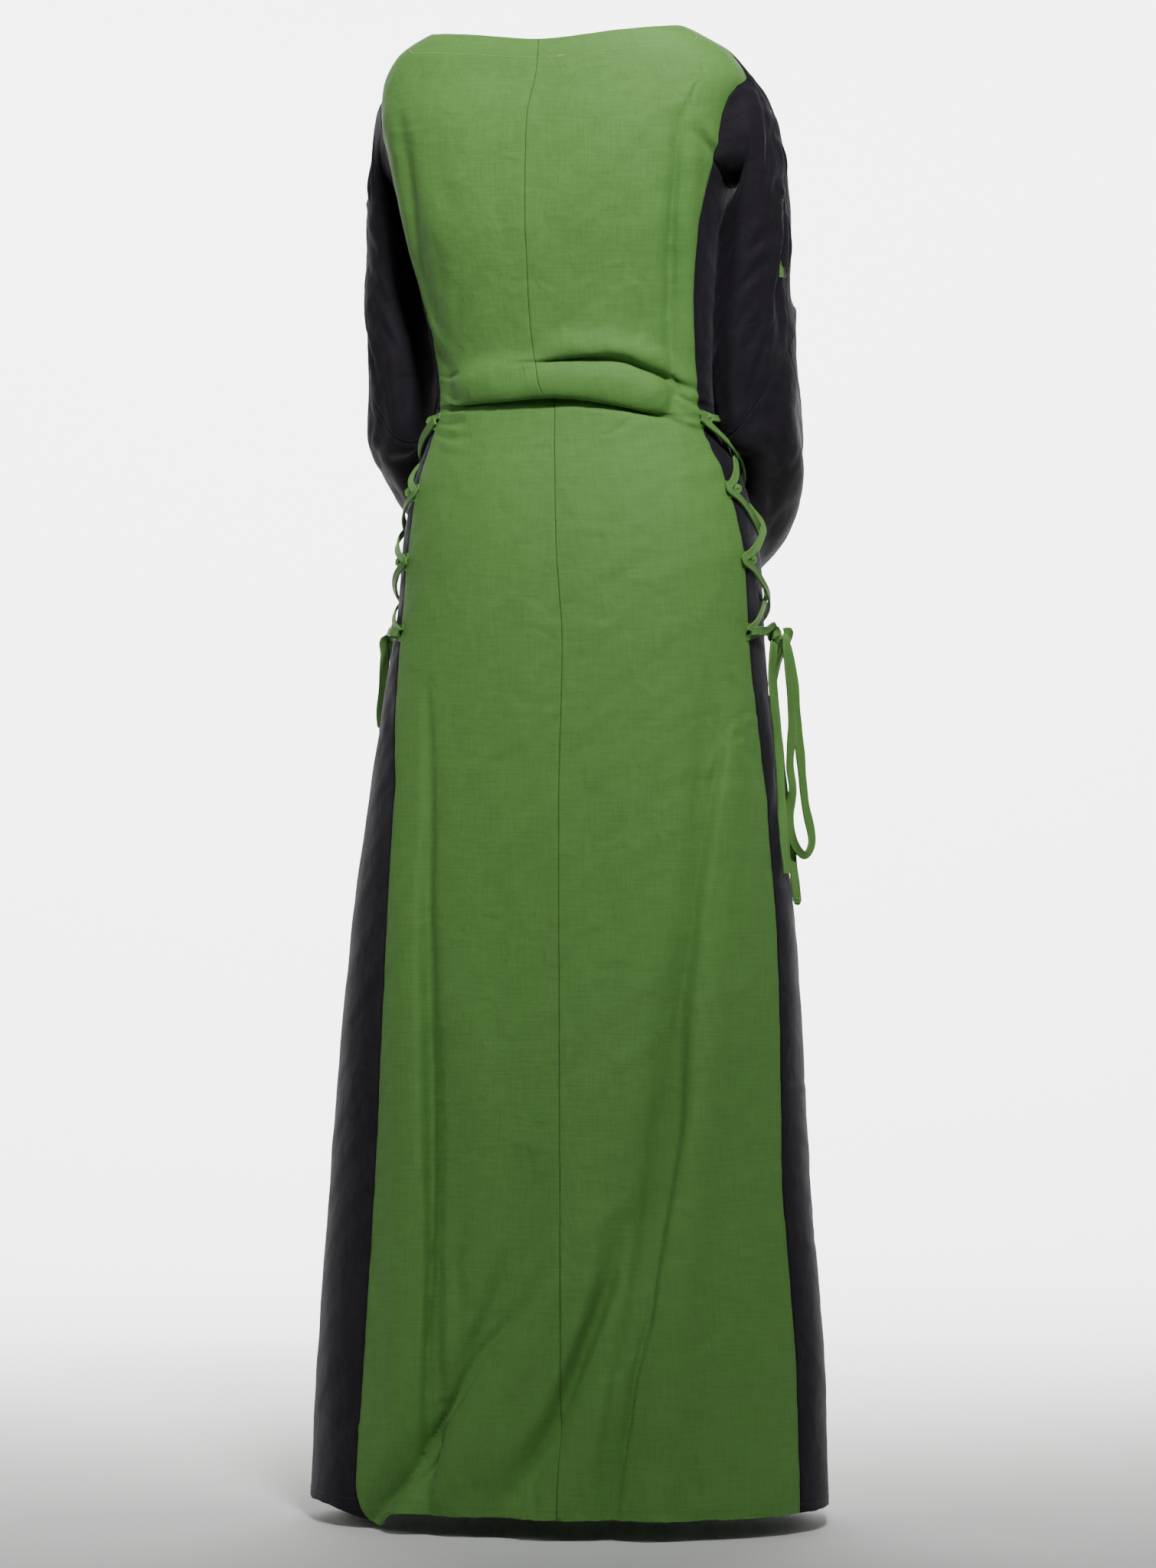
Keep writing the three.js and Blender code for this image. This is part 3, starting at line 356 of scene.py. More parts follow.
GREEN_LOOK = {"Roughness": 0.6, "Specular IOR Level": 0.2, "Sheen Weight": 0.1,
              "Sheen Roughness": 0.38, "Sheen Tint": (0.62, 0.85, 0.5, 1)}
DARK_LOOK = {"Roughness": 0.7, "Specular IOR Level": 0.16, "Sheen Weight": 0.07,
             "Sheen Roughness": 0.35, "Sheen Tint": (0.8, 0.75, 0.9, 1)}


def cloth_material(name, colour, look, thread_pitch, crumple, slub, cloud):
    """Threads, slubs, soft clouds of colour and fine crumples of a woven cloth with a soft
    sheen. Its map is in metres along and across the threads."""
    material = bpy.data.materials.new(name)
    material.use_nodes = True
    nodes = material.node_tree.nodes
    link = material.node_tree.links.new
    shader = nodes["Principled BSDF"]
    for socket, value in look.items():
        shader.inputs[socket].default_value = value
    place = nodes.new("ShaderNodeUVMap")
    parts = nodes.new("ShaderNodeSeparateXYZ")
    link(place.outputs[0], parts.inputs[0])

    def cloth_noise(where, scale, detail):
        node = nodes.new("ShaderNodeTexNoise")
        node.inputs["Scale"].default_value = scale
        node.inputs["Detail"].default_value = detail
        link(where, node.inputs["Vector"])
        return node

    def bump_node(strength, distance, height):
        node = nodes.new("ShaderNodeBump")
        node.inputs["Strength"].default_value = strength
        node.inputs["Distance"].default_value = distance
        link(height, node.inputs["Height"])
        return node

    def math_node(operation, first, second=None):
        node = nodes.new("ShaderNodeMath")
        node.operation = operation
        for socket, value in zip(node.inputs, (first, second)):
            if value is None:
                continue
            if isinstance(value, (int, float)):
                socket.default_value = value
            else:
                link(value, socket)
        return node.outputs[0]

    # Over and under of the threads
    beat = 2 * math.pi / thread_pitch
    warp = math_node("SINE", math_node("MULTIPLY", parts.outputs["X"], beat))
    weft = math_node("SINE", math_node("MULTIPLY", parts.outputs["Y"], beat))
    weave = math_node("MULTIPLY", warp, weft)

    # Threads that are a little thicker or darker for a part of their length
    streaks = []
    for long_way, short_way in ((30, 520), (520, 30)):
        stretch = nodes.new("ShaderNodeMapping")
        stretch.inputs["Scale"].default_value = (long_way, short_way, 1)
        link(place.outputs[0], stretch.inputs["Vector"])
        streaks.append(cloth_noise(stretch.outputs[0], 1, 2).outputs["Fac"])
    slubs = math_node("ADD", streaks[0], streaks[1])

    # Clouds of wear, by the object's own coordinates
    coordinates = nodes.new("ShaderNodeTexCoord")
    clouds = cloth_noise(coordinates.outputs["Object"], 7, 4)

    lightness = math_node("ADD", math_node("MULTIPLY", slubs, slub),
                          math_node("MULTIPLY", clouds.outputs["Fac"], cloud))
    lightness = math_node("ADD", lightness, math_node("MULTIPLY", weave, 0.04))
    lightness = math_node("ADD", lightness, 1 - slub - cloud / 2)
    paint = nodes.new("ShaderNodeVectorMath")
    paint.operation = "SCALE"
    paint.inputs[0].default_value = colour
    link(lightness, paint.inputs["Scale"])
    link(paint.outputs[0], shader.inputs["Base Color"])

    # Fine crumples, then the weave on top of them
    creases = cloth_noise(coordinates.outputs["Object"], 38, 3)
    creases.inputs["Roughness"].default_value = 0.45
    creases.inputs["Distortion"].default_value = 0.6
    soft = bump_node(0.6, crumple, creases.outputs["Fac"])
    relief = math_node("ADD", weave, math_node("MULTIPLY", slubs, 1.2))
    fine = bump_node(0.45, thread_pitch * 0.12, relief)
    link(soft.outputs[0], fine.inputs["Normal"])
    link(fine.outputs[0], shader.inputs["Normal"])
    return material


def on_body(turn, z, out):
    """A place over the cloth, by degrees from the centre back."""
    angle = np.radians(turn)
    return body_point(angle, z) + body_normal(angle, z) * np.asarray(out, float)[..., None]


def knot_centre(sign):
    return on_body(-sign * KNOT_TURN, KNOT_Z, KNOT_OUT)


def knot_ways(sign):
    """Outward from the cloth and ahead, towards the dress's front, at the knot."""
    out = body_normal(math.radians(-sign * KNOT_TURN), KNOT_Z)
    out = unit(np.array([out[0], out[1], 0]))
    ahead = np.array([out[1], -out[0], 0])
    if ahead[1] > 0:
        ahead = -ahead
    return out, ahead


def knot_exit(sign, leaves):
    """Two places on the line on which a tape leaves the knot."""
    out, ahead = knot_ways(sign)
    way = unit(leaves[1] * ahead + leaves[3] * out + np.array([0, 0, -leaves[2]]))
    near = KNOT_RADIUS + SEAM_GAP
    return [knot_centre(sign) + near * way, knot_centre(sign) + (near + LACE_TUBE) * way]


def route_points(sign, places, start=None, end=None):
    """A route's points, and the direction out from the cloth at each."""
    points = []
    if start is not None:
        points += knot_exit(sign, start)
    points += [on_body(-sign * turn, z, out) for turn, z, out in places]
    if end is not None:
        points += knot_exit(sign, end)[::-1]
    return np.array(points)


def smooth_route(points, spacing):
    """The smooth curve through a route's points, with a point each few millimetres."""
    first = 2 * points[0] - points[1]
    last = 2 * points[-1] - points[-2]
    padded = np.vstack([first, points, last])
    curve = []
    for i in range(1, len(padded) - 2):
        a, b, c, d = padded[i - 1:i + 3]
        gaps = [max(np.linalg.norm(q - p), 1e-4) ** 0.5 for p, q in ((a, b), (b, c), (c, d))]
        start = (b - a) / gaps[0] - (c - a) / (gaps[0] + gaps[1]) + (c - b) / gaps[1]
        end = (c - b) / gaps[1] - (d - b) / (gaps[1] + gaps[2]) + (d - c) / gaps[2]
        start, end = start * gaps[1], end * gaps[1]
        count = max(2, int(np.linalg.norm(c - b) / spacing * 2))
        for t in np.arange(count) / count:
            curve.append(b + start * t + (3 * (c - b) - 2 * start - end) * t * t
                         + (2 * (b - c) + start + end) * t ** 3)
    curve.append(points[-1])
    curve = np.array(curve)
    walked = walked_along(curve)
    even = np.linspace(0, walked[-1], max(3, int(round(walked[-1] / spacing)) + 1))
    return places_along(even, walked, curve), even


def cloth_out(points):
    """Outward from the cloth of the body at each point beside it."""
    angle = np.arctan2(-(points[:, 0] - level_value("x", points[:, 2])),
                       points[:, 1] - level_value("middle", points[:, 2]))
    return body_normal(angle, points[:, 2])


def mesh_piece(name, verts, faces, material, uvs=None):
    mesh = bpy.data.meshes.new(name)
    mesh.from_pydata([tuple(v) for v in np.asarray(verts) * MM], [], [tuple(f) for f in faces])
    mesh.materials.append(material)
    if uvs is not None:
        layer = mesh.uv_layers.new(name="cloth")
        corner = np.zeros(len(mesh.loops), dtype=np.int32)
        mesh.loops.foreach_get("vertex_index", corner)
        layer.data.foreach_set("uv", np.asarray(uvs, float)[corner].ravel())
    mesh.validate()
    piece = bpy.data.objects.new(name, mesh)
    bpy.context.scene.collection.objects.link(piece)
    return piece


# Half the outline of a flat tape with a stitched edge, across and through, as parts of its size
TAPE_EDGE = ((-1, 0), (-0.95, 0.62), (-0.8, 1), (-0.55, 0.72), (0, 0.9), (0.55, 0.72),
             (0.8, 1), (0.95, 0.62))
TAPE_OUTLINE = TAPE_EDGE + tuple((-u, -v) for u, v in TAPE_EDGE)


def tape_faces(rings):
    """The faces of a closed tape with so many outlines one after another."""
    count = len(TAPE_OUTLINE)
    faces = []
    for i in range(rings - 1):
        for j in range(count):
            k = (j + 1) % count
            faces.append((i * count + j, i * count + k, (i + 1) * count + k, (i + 1) * count + j))
    faces.append(tuple(range(count))[::-1])
    faces.append(tuple((rings - 1) * count + j for j in range(count)))
    return faces


def tape_turn(ring, middle, length, half_wide, half_thick):
    """Vertices, faces and map of one turn of the tape round a middle, as in a knot."""
    walked = np.linspace(0, length, len(ring))
    radial = unit(ring - middle)
    across = unit(np.cross(unit(np.gradient(ring, axis=0)), radial))
    verts, uvs = [], []
    for i, place in enumerate(ring):
        for u, v in TAPE_OUTLINE:
            verts.append(place + across[i] * u * half_wide + radial[i] * v * half_thick)
            uvs.append((walked[i] * MM, u * half_wide * MM))
    return verts, tape_faces(len(ring)), uvs


def tape_shape(route, walked, width, twist=0, turned_back=0.0):
    """Vertices, faces and map of a flat tape along a route."""
    tangent = unit(np.gradient(route, axis=0))
    out = unit((1 - turned_back) * cloth_out(route) + turned_back * np.array(view_way))
    across = unit(np.cross(tangent, out))
    for i in range(1, len(across)):
        if across[i] @ across[i - 1] < 0:
            across[i] = -across[i]
    face = unit(np.cross(across, tangent))
    angle = twist * np.sin(walked / 47 + twist) + 0.12 * np.sin(walked / 19)
    turned = across * np.cos(angle)[:, None] + face * np.sin(angle)[:, None]
    face = unit(np.cross(turned, tangent))
    verts, uvs = [], []
    for i, middle in enumerate(route):
        wide = width * (1 + 0.07 * math.sin(walked[i] / 13) + 0.04 * math.sin(walked[i] / 5.3))
        for u, v in TAPE_OUTLINE:
            verts.append(middle + turned[i] * u * wide / 2 + face[i] * v * TAPE_THICK / 2)
            uvs.append((walked[i] * MM, (u * wide / 2 + (20 if v < 0 else 0)) * MM))
    return verts, tape_faces(len(route)), uvs


def join_shapes(shapes):
    verts, faces, uvs = [], [], []
    for more_verts, more_faces, more_uvs in shapes:
        offset = len(verts)
        verts += list(more_verts)
        faces += [tuple(v + offset for v in face) for face in more_faces]
        uvs += list(more_uvs)
    return verts, faces, uvs


def closed_piece(name, shapes, material, is_tape):
    """Closed shapes as one piece with its faces turned outward. A tape has a map and keeps its
    sharp edges; a thread has neither."""
    verts, faces, uvs = join_shapes(shapes)
    piece = mesh_piece(name, verts, faces, material, uvs if is_tape else None)
    bpy.context.view_layer.objects.active = piece
    piece.select_set(True)
    bpy.ops.object.mode_set(mode="EDIT")
    bpy.ops.mesh.select_all(action="SELECT")
    bpy.ops.mesh.normals_make_consistent(inside=False)
    bpy.ops.object.mode_set(mode="OBJECT")
    if is_tape:
        bpy.ops.object.shade_smooth_by_angle(angle=math.radians(TAPE_SHARP))
    else:
        bpy.ops.object.shade_smooth()
    piece.select_set(False)
    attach(piece, "root")
    return piece


def tape_piece(name, shapes):
    return closed_piece(name, shapes, tape_green, True)


bpy.ops.object.select_all(action="DESELECT")
tape_green = cloth_material("green_tape", (0.11, 0.25, 0.06), GREEN_LOOK,
                            thread_pitch=0.0007, crumple=0.0006, slub=0.3, cloud=0.16)
for side, sign in SIDES:
    # Four turns of the tape make the knot
    centre = knot_centre(sign)
    out, ahead = knot_ways(sign)
    up = np.array([0.0, 0.0, 1.0])
    turns = []
    for long_way, round_way, size, flat, start in (
            (ahead, out, 7.6, 5.4, 0.3), (up, out, 7.8, 6.2, 1.1), (ahead, up, 6.4, 5.2, 2.0),
            (unit(ahead + up), out, 8.2, 5.2, 0.7)):
        angle = start + np.linspace(0, 2 * math.pi * 0.97, 34)
        ring = (centre + size * np.cos(angle)[:, None] * long_way
                + flat * np.sin(angle)[:, None] * round_way
                + 0.9 * np.sin(2 * angle)[:, None] * np.cross(long_way, round_way))
        turns.append(tape_turn(ring, centre, *BOW_KNOT_TAPE))
    knot = tape_piece(f"knot_of_tape_{side}", turns)
    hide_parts(f"knot_{side}")

    # The bow's loops and the free ends
    for name, (start, places, end) in BOW_ROUTES[side].items():
        points = route_points(sign, places, start, end)
        route, walked = smooth_route(points, 3)
        shapes = [tape_shape(route, walked, TAPE_WIDTH, twist=0.35, turned_back=0.6)]
        bow = tape_piece(f"tape_{name}_{side}", shapes)
        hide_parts(f"{name}_{side}")
        if name == "lace_end_long":
            # The long end is knotted so that it doesn't fray
            ring_middle = route[-1]
            ring_shapes = []
            for tilt in (0.0, 0.9):
                angle = np.linspace(0, 2 * math.pi * 0.95, 22)
                a = unit(np.array([math.cos(tilt), 0.3, math.sin(tilt)]))
                b = unit(np.cross(a, np.array([0.2, 0.9, 0.3])))
                ring = (ring_middle + 2.4 * np.cos(angle)[:, None] * a
                        + 1.9 * np.sin(angle)[:, None] * b)
                ring_shapes.append(tape_turn(ring, ring_middle, *END_KNOT_TAPE))
            end_knot = tape_piece(f"end_knot_{side}", ring_shapes)

    # The crossed lacing: two strands and the bar between the top pair of loops
    def eyelet(edge, number):
        z = EYELET_Z[number]
        if edge == "back":
            turn = straight_value(SEAM_COLUMNS, SEAMS, f"back_{side}", z) - EYELET_INSET
        else:
            turn = 180 - straight_value(SEAM_COLUMNS, SEAMS, f"front_{side}", z) + EYELET_INSET
        return float(turn), z, LACE_OUT

    strands = []
    for first_edge, cross_out in (("back", LACE_OUT + 2.6), ("front", LACE_OUT - 1.2)):
        edge = first_edge
        places = []
        for number in range(len(EYELET_Z)):
            here = eyelet(edge, number)
            places.append(here)
            if number + 1 < len(EYELET_Z):
                other = "front" if edge == "back" else "back"
                there = eyelet(other, number + 1)
                for part in np.arange(1, 8) / 8:
                    sag = 3.5 * math.sin(math.pi * part) * (1 if number % 2 else 0.4)
                    places.append((
                        here[0] + (there[0] - here[0]) * part,
                        here[1] + (there[1] - here[1]) * part - sag,
                        LACE_OUT + (cross_out - LACE_OUT) * math.sin(math.pi * part) ** 2))
                edge = other
        last = places[-1]
        for part in (0.2, 0.4, 0.6):
            places.append((last[0] + (KNOT_TURN - last[0]) * part,
                           last[1] + (KNOT_Z + 5 - last[1]) * part,
                           LACE_OUT + (KNOT_OUT - LACE_OUT) * part))
        leaves = ("leaves", -8 if edge == "back" else 8, -5, 0)
        route, walked = smooth_route(route_points(sign, places, None, leaves), 3)
        strands.append(tape_shape(route, walked, CROSSED_WIDTH, twist=0.3, turned_back=0.4))
    bar_ends = eyelet("back", 0), eyelet("front", 0)
    bar = [tuple(bar_ends[0][k] + (bar_ends[1][k] - bar_ends[0][k]) * part for k in range(3))
           for part in (0, 0.25, 0.5, 0.75, 1)]
    route, walked = smooth_route(route_points(sign, bar), 3)
    strands.append(tape_shape(route, walked, CROSSED_WIDTH, twist=0.2, turned_back=0.4))
    lacing = tape_piece(f"crossed_tape_{side}", strands)
    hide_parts(f"lacing_{side}")

    # A small loop of the same tape is sewn to the green edge at each crossing point
    loops = []
    for number in range(len(EYELET_Z)):
        for edge, inward in (("back", -1), ("front", 1)):
            turn, z, out = eyelet(edge, number)
            rim = turn - inward * EYELET_INSET
            places = (
                (rim + inward * 1.8, z + 6, 1.4), (rim + inward * 0.3, z + 5, 1.8),
                (rim - inward * 1.9, z + 2.6, 4.4), (rim - inward * 3, z, 7.4),
                (rim - inward * 1.9, z - 2.6, 4.4), (rim + inward * 0.3, z - 5, 1.8),
                (rim + inward * 1.8, z - 6, 1.4))
            route, walked = smooth_route(route_points(sign, places), 1.5)
            loops.append(tape_shape(route, walked, LOOP_WIDTH, turned_back=0.3))
    tape_piece(f"edge_loops_{side}", loops)

# Creases of the worn cloth
# The cloth hangs from the shoulders, is pushed up into folds over the waist, and falls in
# long soft folds. Each crease goes through seen places, x to the right and z up, and has a
# depth, a width and a ridge beside it: plus lies on the right of the way that it runs. A fifth
# value makes it a lap: that side stands up at once, and sinks back over so many millimetres.
CREASES_BEHIND = {
    "right dart": (((141, -5), (129, -35), (113, -79), (106, -90)), 1.6, 3, 1),
    "right dart fold": (((108, -80), (104, -135), (100, -192), (99, -277), (101, -330),
                         (104, -346)), 4, 4.5, -2.5, 20),
    "under the right dart": (((112, -92), (128, -104), (148, -126)), 2.4, 8, -1.8),
    "right blade": (((88, -74), (78, -120), (82, -170)), 1, 16, 0),
    "left fold": (((-172, -64), (-165, -113), (-159, -161), (-152, -205), (-144, -244),
                   (-128, -306)), 4, 7, 5, 22),
    "left fold edge": (((-146, -268), (-133, -300), (-122, -326)), 3, 4, -2),
    "left soft fold": (((-138, -196), (-129, -228), (-126, -268)), 1.8, 6, -1),
    "left soft fold below": (((-112, -240), (-110, -276), (-118, -306)), 1.2, 8, 0.6),
    "left shoulder line": (((-182, -84), (-160, -86), (-140, -82)), 0.7, 3, 0.4),
    "left blade": (((-118, -88), (-128, -140), (-108, -178)), 1.2, 15, 0),
    "middle back": (((-64, -106), (-70, -172), (-58, -226)), 0.9, 14, 0),
    "middle back right": (((30, -150), (36, -210), (26, -268)), 1, 13, 0),
    "low back line": (((48, -226), (46, -262), (40, -292)), 0.9, 7, 0),
    "low back soft line": (((62, -250), (70, -284), (60, -304)), 1, 7, 0),
    "waist fold edge": (((-146, -368), (-103, -355), (-62, -351), (-20, -350), (19, -354),
                         (57, -364), (110, -382)), 5, 4, -8, 15),
    "waist fold tail": (((92, -372), (116, -386), (142, -395), (160, -398)), 4, 5, -3, 12),
    "upper fold edge": (((-63, -325), (-32, -321), (0, -317), (48, -315), (70, -325),
                         (100, -340), (139, -368)), 4, 4.5, -4, 12),
    "upper fold end left": (((-78, -331), (-62, -336), (-34, -328)), 2, 6, 1),
    "fan to the right 1": (((96, -334), (118, -346), (136, -352)), 2, 4, 1.4),
    "fan to the right 2": (((100, -352), (120, -362), (146, -368)), 2.2, 4, 1.4),
    "fan to the right 3": (((84, -368), (112, -376), (142, -378)), 1.6, 4, 1),
    "fan to the right 4": (((112, -384), (134, -388), (156, -386)), 1.4, 4, 1),
    "fold's right end": (((101, -330), (105, -345), (104, -358)), 2.4, 3.5, 0),
    "left pucker 1": (((-131, -330), (-120, -333), (-108, -330)), 1.5, 3, 1),
    "left pucker 2": (((-130, -344), (-116, -347), (-96, -344)), 1.4, 3.5, 1),
    "left pucker 3": (((-133, -366), (-118, -366), (-96, -361)), 2, 3.5, 1.2),
    "left pucker 4": (((-136, -377), (-121, -381), (-101, -379)), 1.8, 3.5, 1.2),
    "left pucker 5": (((-137, -389), (-118, -396), (-96, -394)), 1.4, 4, 1),
    "left pucker 6": (((-140, -402), (-122, -412), (-98, -414)), 1.1, 4, 0.6),
    "hollow over the right hip": (((27, -396), (41, -393), (54, -385), (66, -373)), 1.2, 4, 0.6),
    "left hip line": (((-92, -411), (-66, -414), (-40, -411)), 0.9, 3.5, 0.5),
    "left hip line below": (((-80, -440), (-52, -446), (-30, -444)), 0.7, 4, 0.4),
    "seam pull": (((-52, -485), (-36, -486), (-18, -483)), 1, 3, 0.5),
    "seam pull right": (((-2, -478), (22, -483), (50, -480)), 0.8, 4, 0.4),
    "right hip line": (((96, -431), (128, -416), (160, -396)), 1.3, 4.5, 0.8),
    "right hip line below": (((96, -434), (124, -426), (154, -412)), 1.1, 4, 0.6),
    "right hip line low": (((110, -455), (138, -446), (160, -430)), 0.8, 5, 0.4),
    "mid hip line": (((40, -501), (62, -496), (84, -497)), 0.6, 4, 0.3),
    "low hip line": (((-58, -569), (-30, -574), (-4, -575)), 0.7, 3.5, 0.4),
    "low hip line right": (((6, -573), (28, -576), (52, -572)), 0.6, 4, 0.3),
    "left skirt fold edge": (((-142, -640), (-139, -714), (-139, -781), (-142, -849),
                              (-141, -916), (-139, -1065), (-138, -1188), (-141, -1292),
                              (-143, -1347), (-142, -1420)), 9, 6, 17, 26),
    "left skirt inner hollow": (((-118, -980), (-116, -1120), (-112, -1260), (-118, -1340)),
                                7, 20, 0),
    "right skirt fold edge": (((144, -650), (149, -690), (139, -758), (127, -829), (120, -899),
                               (112, -960), (108, -1065), (97, -1136), (86, -1206), (79, -1258),
                               (65, -1313), (58, -1362), (50, -1413), (42, -1480)), 8, 6, -15, 34),
    "right skirt valley": (((110, -880), (96, -990), (88, -1090), (72, -1180), (54, -1270),
                            (40, -1350), (30, -1430)), 11, 19, 0),
    "tuft 1": (((138, -676), (150, -692), (158, -676), (186, -666)), 2.2, 3, 1.4),
    "tuft 2": (((148, -696), (158, -696), (167, -690)), 2, 3, 1.2),
    "tuft 3": (((146, -632), (158, -636), (166, -650)), 1.2, 4, -1.2),
    "tuft 4": (((150, -700), (146, -716), (142, -742)), 2, 4, 1.6),
    "tuft 5": (((160, -690), (171, -702), (176, -724)), 1.2, 5, 0.8),
    "skirt line left": (((-102, -712), (-76, -716), (-50, -713)), 0.6, 5, 0.4),
    "skirt line middle": (((-60, -650), (-30, -660), (4, -652)), 0.7, 6, 0.4),
    "right skirt hollow": (((150, -796), (143, -860), (146, -930)), 1.6, 10, 0),
    "right skirt wave": (((84, -720), (78, -820), (86, -930)), 1.6, 14, 0),
    "middle skirt wave": (((40, -742), (34, -860), (30, -1000), (22, -1120)), 2, 18, 0),
    "left skirt wave": (((-64, -800), (-72, -930), (-66, -1060)), 1.8, 18, 0),
    "valley to the hem": (((54, -1150), (36, -1223), (8, -1300), (-18, -1369),
                           (-56, -1440)), 11, 15, 6),
    "hollow under the waves": (((-40, -1090), (-58, -1190), (-96, -1290), (-130, -1350)),
                               8, 20, 0),
    "slanting fold edge": (((-6, -1196), (-50, -1254), (-91, -1303), (-119, -1354),
                            (-136, -1386), (-160, -1424), (-185, -1452), (-220, -1496)),
                           10, 8, -14, 30),
    "slanting fold branch": (((-142, -1351), (-126, -1345), (-112, -1337)), 2, 4, -1),
    "left line low": (((-133, -1184), (-112, -1180), (-94, -1181)), 0.8, 3, 0.5),
    "right line low": (((96, -1148), (110, -1141), (122, -1146)), 0.9, 3.5, 0.6),
    "middle line low": (((-106, -1248), (-80, -1262), (-58, -1246)), 0.8, 6, 0.5),
    "right of the fold 1": (((126, -1210), (136, -1190), (160, -1176)), 0.9, 5, 0.6),
    "right of the fold 2": (((96, -1290), (122, -1284), (150, -1262)), 1.2, 7, 0.8),
    "right of the fold 3": (((20, -1316), (44, -1306), (60, -1306)), 1, 5, 0.6),
    "hem wave 1": (((-30, -1386), (-36, -1420), (-32, -1452)), 1.4, 7, 0.8),
    "hem wave 2": (((14, -1400), (10, -1430), (14, -1456)), 1.2, 6, 0.8),
    "hem wave 3": (((84, -1392), (86, -1424), (82, -1454)), 1.4, 8, 0.9),
    "hem wave 4": (((120, -1404), (124, -1432), (120, -1456)), 1, 7, 0.6),
    "hem wave 5": (((160, -1396), (162, -1426), (158, -1452)), 1.1, 7, 0.7),
    "hem wave 6": (((-92, -1416), (-98, -1440), (-94, -1460)), 1.2, 6, 0.8),
    "left gore line": (((-236, -1016), (-212, -1022), (-186, -1027)), 1.4, 3, 1),
    "left gore line low": (((-250, -1356), (-226, -1366), (-196, -1360)), 1.2, 4, 0.8),
    "right gore line": (((206, -1028), (222, -1033), (236, -1034)), 1.4, 3, 1),
    "right gore line low": (((222, -1188), (234, -1184), (246, -1196)), 1, 4, 0.6),
    "right gore hollow": (((196, -640), (204, -700), (200, -800)), 2, 8, 1),
    "left gore notch": (((-186, -632), (-180, -655), (-178, -690)), 2.5, 6, 1.5),
}
# The hidden front, by x to the dress's left, has folds like those of the back
CREASES_IN_FRONT = {
    "bust line": (((-96, -96), (-70, -150), (-78, -210)), 1.8, 14, 0.6),
    "bust line left": (((92, -90), (74, -150), (84, -214)), 1.6, 14, 0.6),
    "neck drape": (((-60, -62), (0, -76), (58, -60)), 1.6, 9, 0.8),
    "waist fold": (((-118, -352), (-60, -358), (0, -362), (54, -356), (112, -350)), 4, 6, 2.5),
    "waist fold above": (((-104, -326), (-40, -332), (30, -336), (92, -326)), 2.4, 6, 1.6),
    "pucker 1": (((-124, -338), (-108, -342), (-84, -340)), 1.6, 4, 1),
    "pucker 2": (((-122, -370), (-104, -376), (-86, -374)), 1.6, 4, 1),
    "pucker 3": (((88, -344), (106, -346), (122, -342)), 1.6, 4, 1),
    "pucker 4": (((84, -372), (104, -378), (124, -374)), 1.6, 4, 1),
    "hip line": (((-110, -420), (-80, -428), (-40, -424)), 0.9, 4, 0.5),
    "hip line left": (((36, -430), (76, -434), (110, -424)), 0.9, 4, 0.5),
    "skirt fold": (((-84, -640), (-92, -900), (-108, -1180), (-122, -1440)), 4, 8, 2),
    "skirt fold middle": (((-14, -700), (-6, -960), (-18, -1220), (-10, -1446)), 3.5, 11, 2),
    "skirt fold left": (((78, -640), (90, -900), (96, -1160), (118, -1440)), 4, 8, -2),
    "skirt line": (((-60, -760), (-30, -768), (6, -762)), 0.8, 5, 0.4),
    "skirt line low": (((24, -1150), (50, -1160), (82, -1152)), 0.8, 5, 0.4),
    "hem wave 1": (((-60, -1392), (-56, -1424), (-62, -1450)), 1.3, 7, 0.8),
    "hem wave 2": (((40, -1396), (46, -1424), (42, -1450)), 1.3, 7, 0.8),
}


def crease_moves(across, up, creases):
    """How far each crease moves a flat place in or out, summed over a table of creases."""
    flat = np.stack([across.ravel(), up.ravel()], axis=1)
    move = np.zeros(len(flat))
    for places, depth, width, ridge, *lap in creases.values():
        places = np.array(places, float)
        pads = np.vstack([2 * places[0] - places[1], places, 2 * places[-1] - places[-2]])
        line = []
        for i in range(1, len(pads) - 2):
            a, b, c, d = pads[i - 1:i + 3]
            steps = max(4, int(np.linalg.norm(c - b) / 4))
            for t in np.arange(steps) / steps:
                line.append(0.5 * (2 * b + (c - a) * t + (2 * a - 5 * b + 4 * c - d) * t * t
                                   + (3 * b - a - 3 * c + d) * t ** 3))
        line.append(places[-1])
        line = np.array(line)
        walked = walked_along(line)
        part = walked / walked[-1]
        tangent = unit(np.gradient(line, axis=0))
        spread = max([4 * width] + [5 * reach_back for reach_back in lap])
        near = np.all((flat > line.min(0) - spread) & (flat < line.max(0) + spread), axis=1)
        if not near.any():
            continue
        spots = flat[near]
        gap = spots[:, None, :] - line[None, :, :]
        nearest = np.argmin((gap ** 2).sum(2), axis=1)
        rows = np.arange(len(spots))
        away = gap[rows, nearest]
        way = tangent[nearest]
        sideways = way[:, 1] * away[:, 0] - way[:, 0] * away[:, 1]
        s = part[nearest]
        fade = np.clip(np.sin(math.pi * np.clip(s, 0.001, 0.999)), 0, 1) ** 0.6
        fade = fade * (0.85 + 0.15 * np.sin(9 * s + depth))
        wide = width * (0.8 + 0.3 * np.sin(5 * s + width))
        trough = -depth * bump(sideways, wide)
        side = 1 if ridge > 0 else -1
        beside = sideways * side
        if lap:
            lip = abs(ridge) * np.exp(-np.maximum(beside, 0) / lap[0])
            lip = lip / (1 + np.exp(np.clip(-beside / (0.35 * wide), -30, 30)))
        else:
            lip = abs(ridge) * bump(beside - 1.9 * wide, 1.25 * wide)
        move[near] += fade * (trough + lip)
    return move.reshape(across.shape)


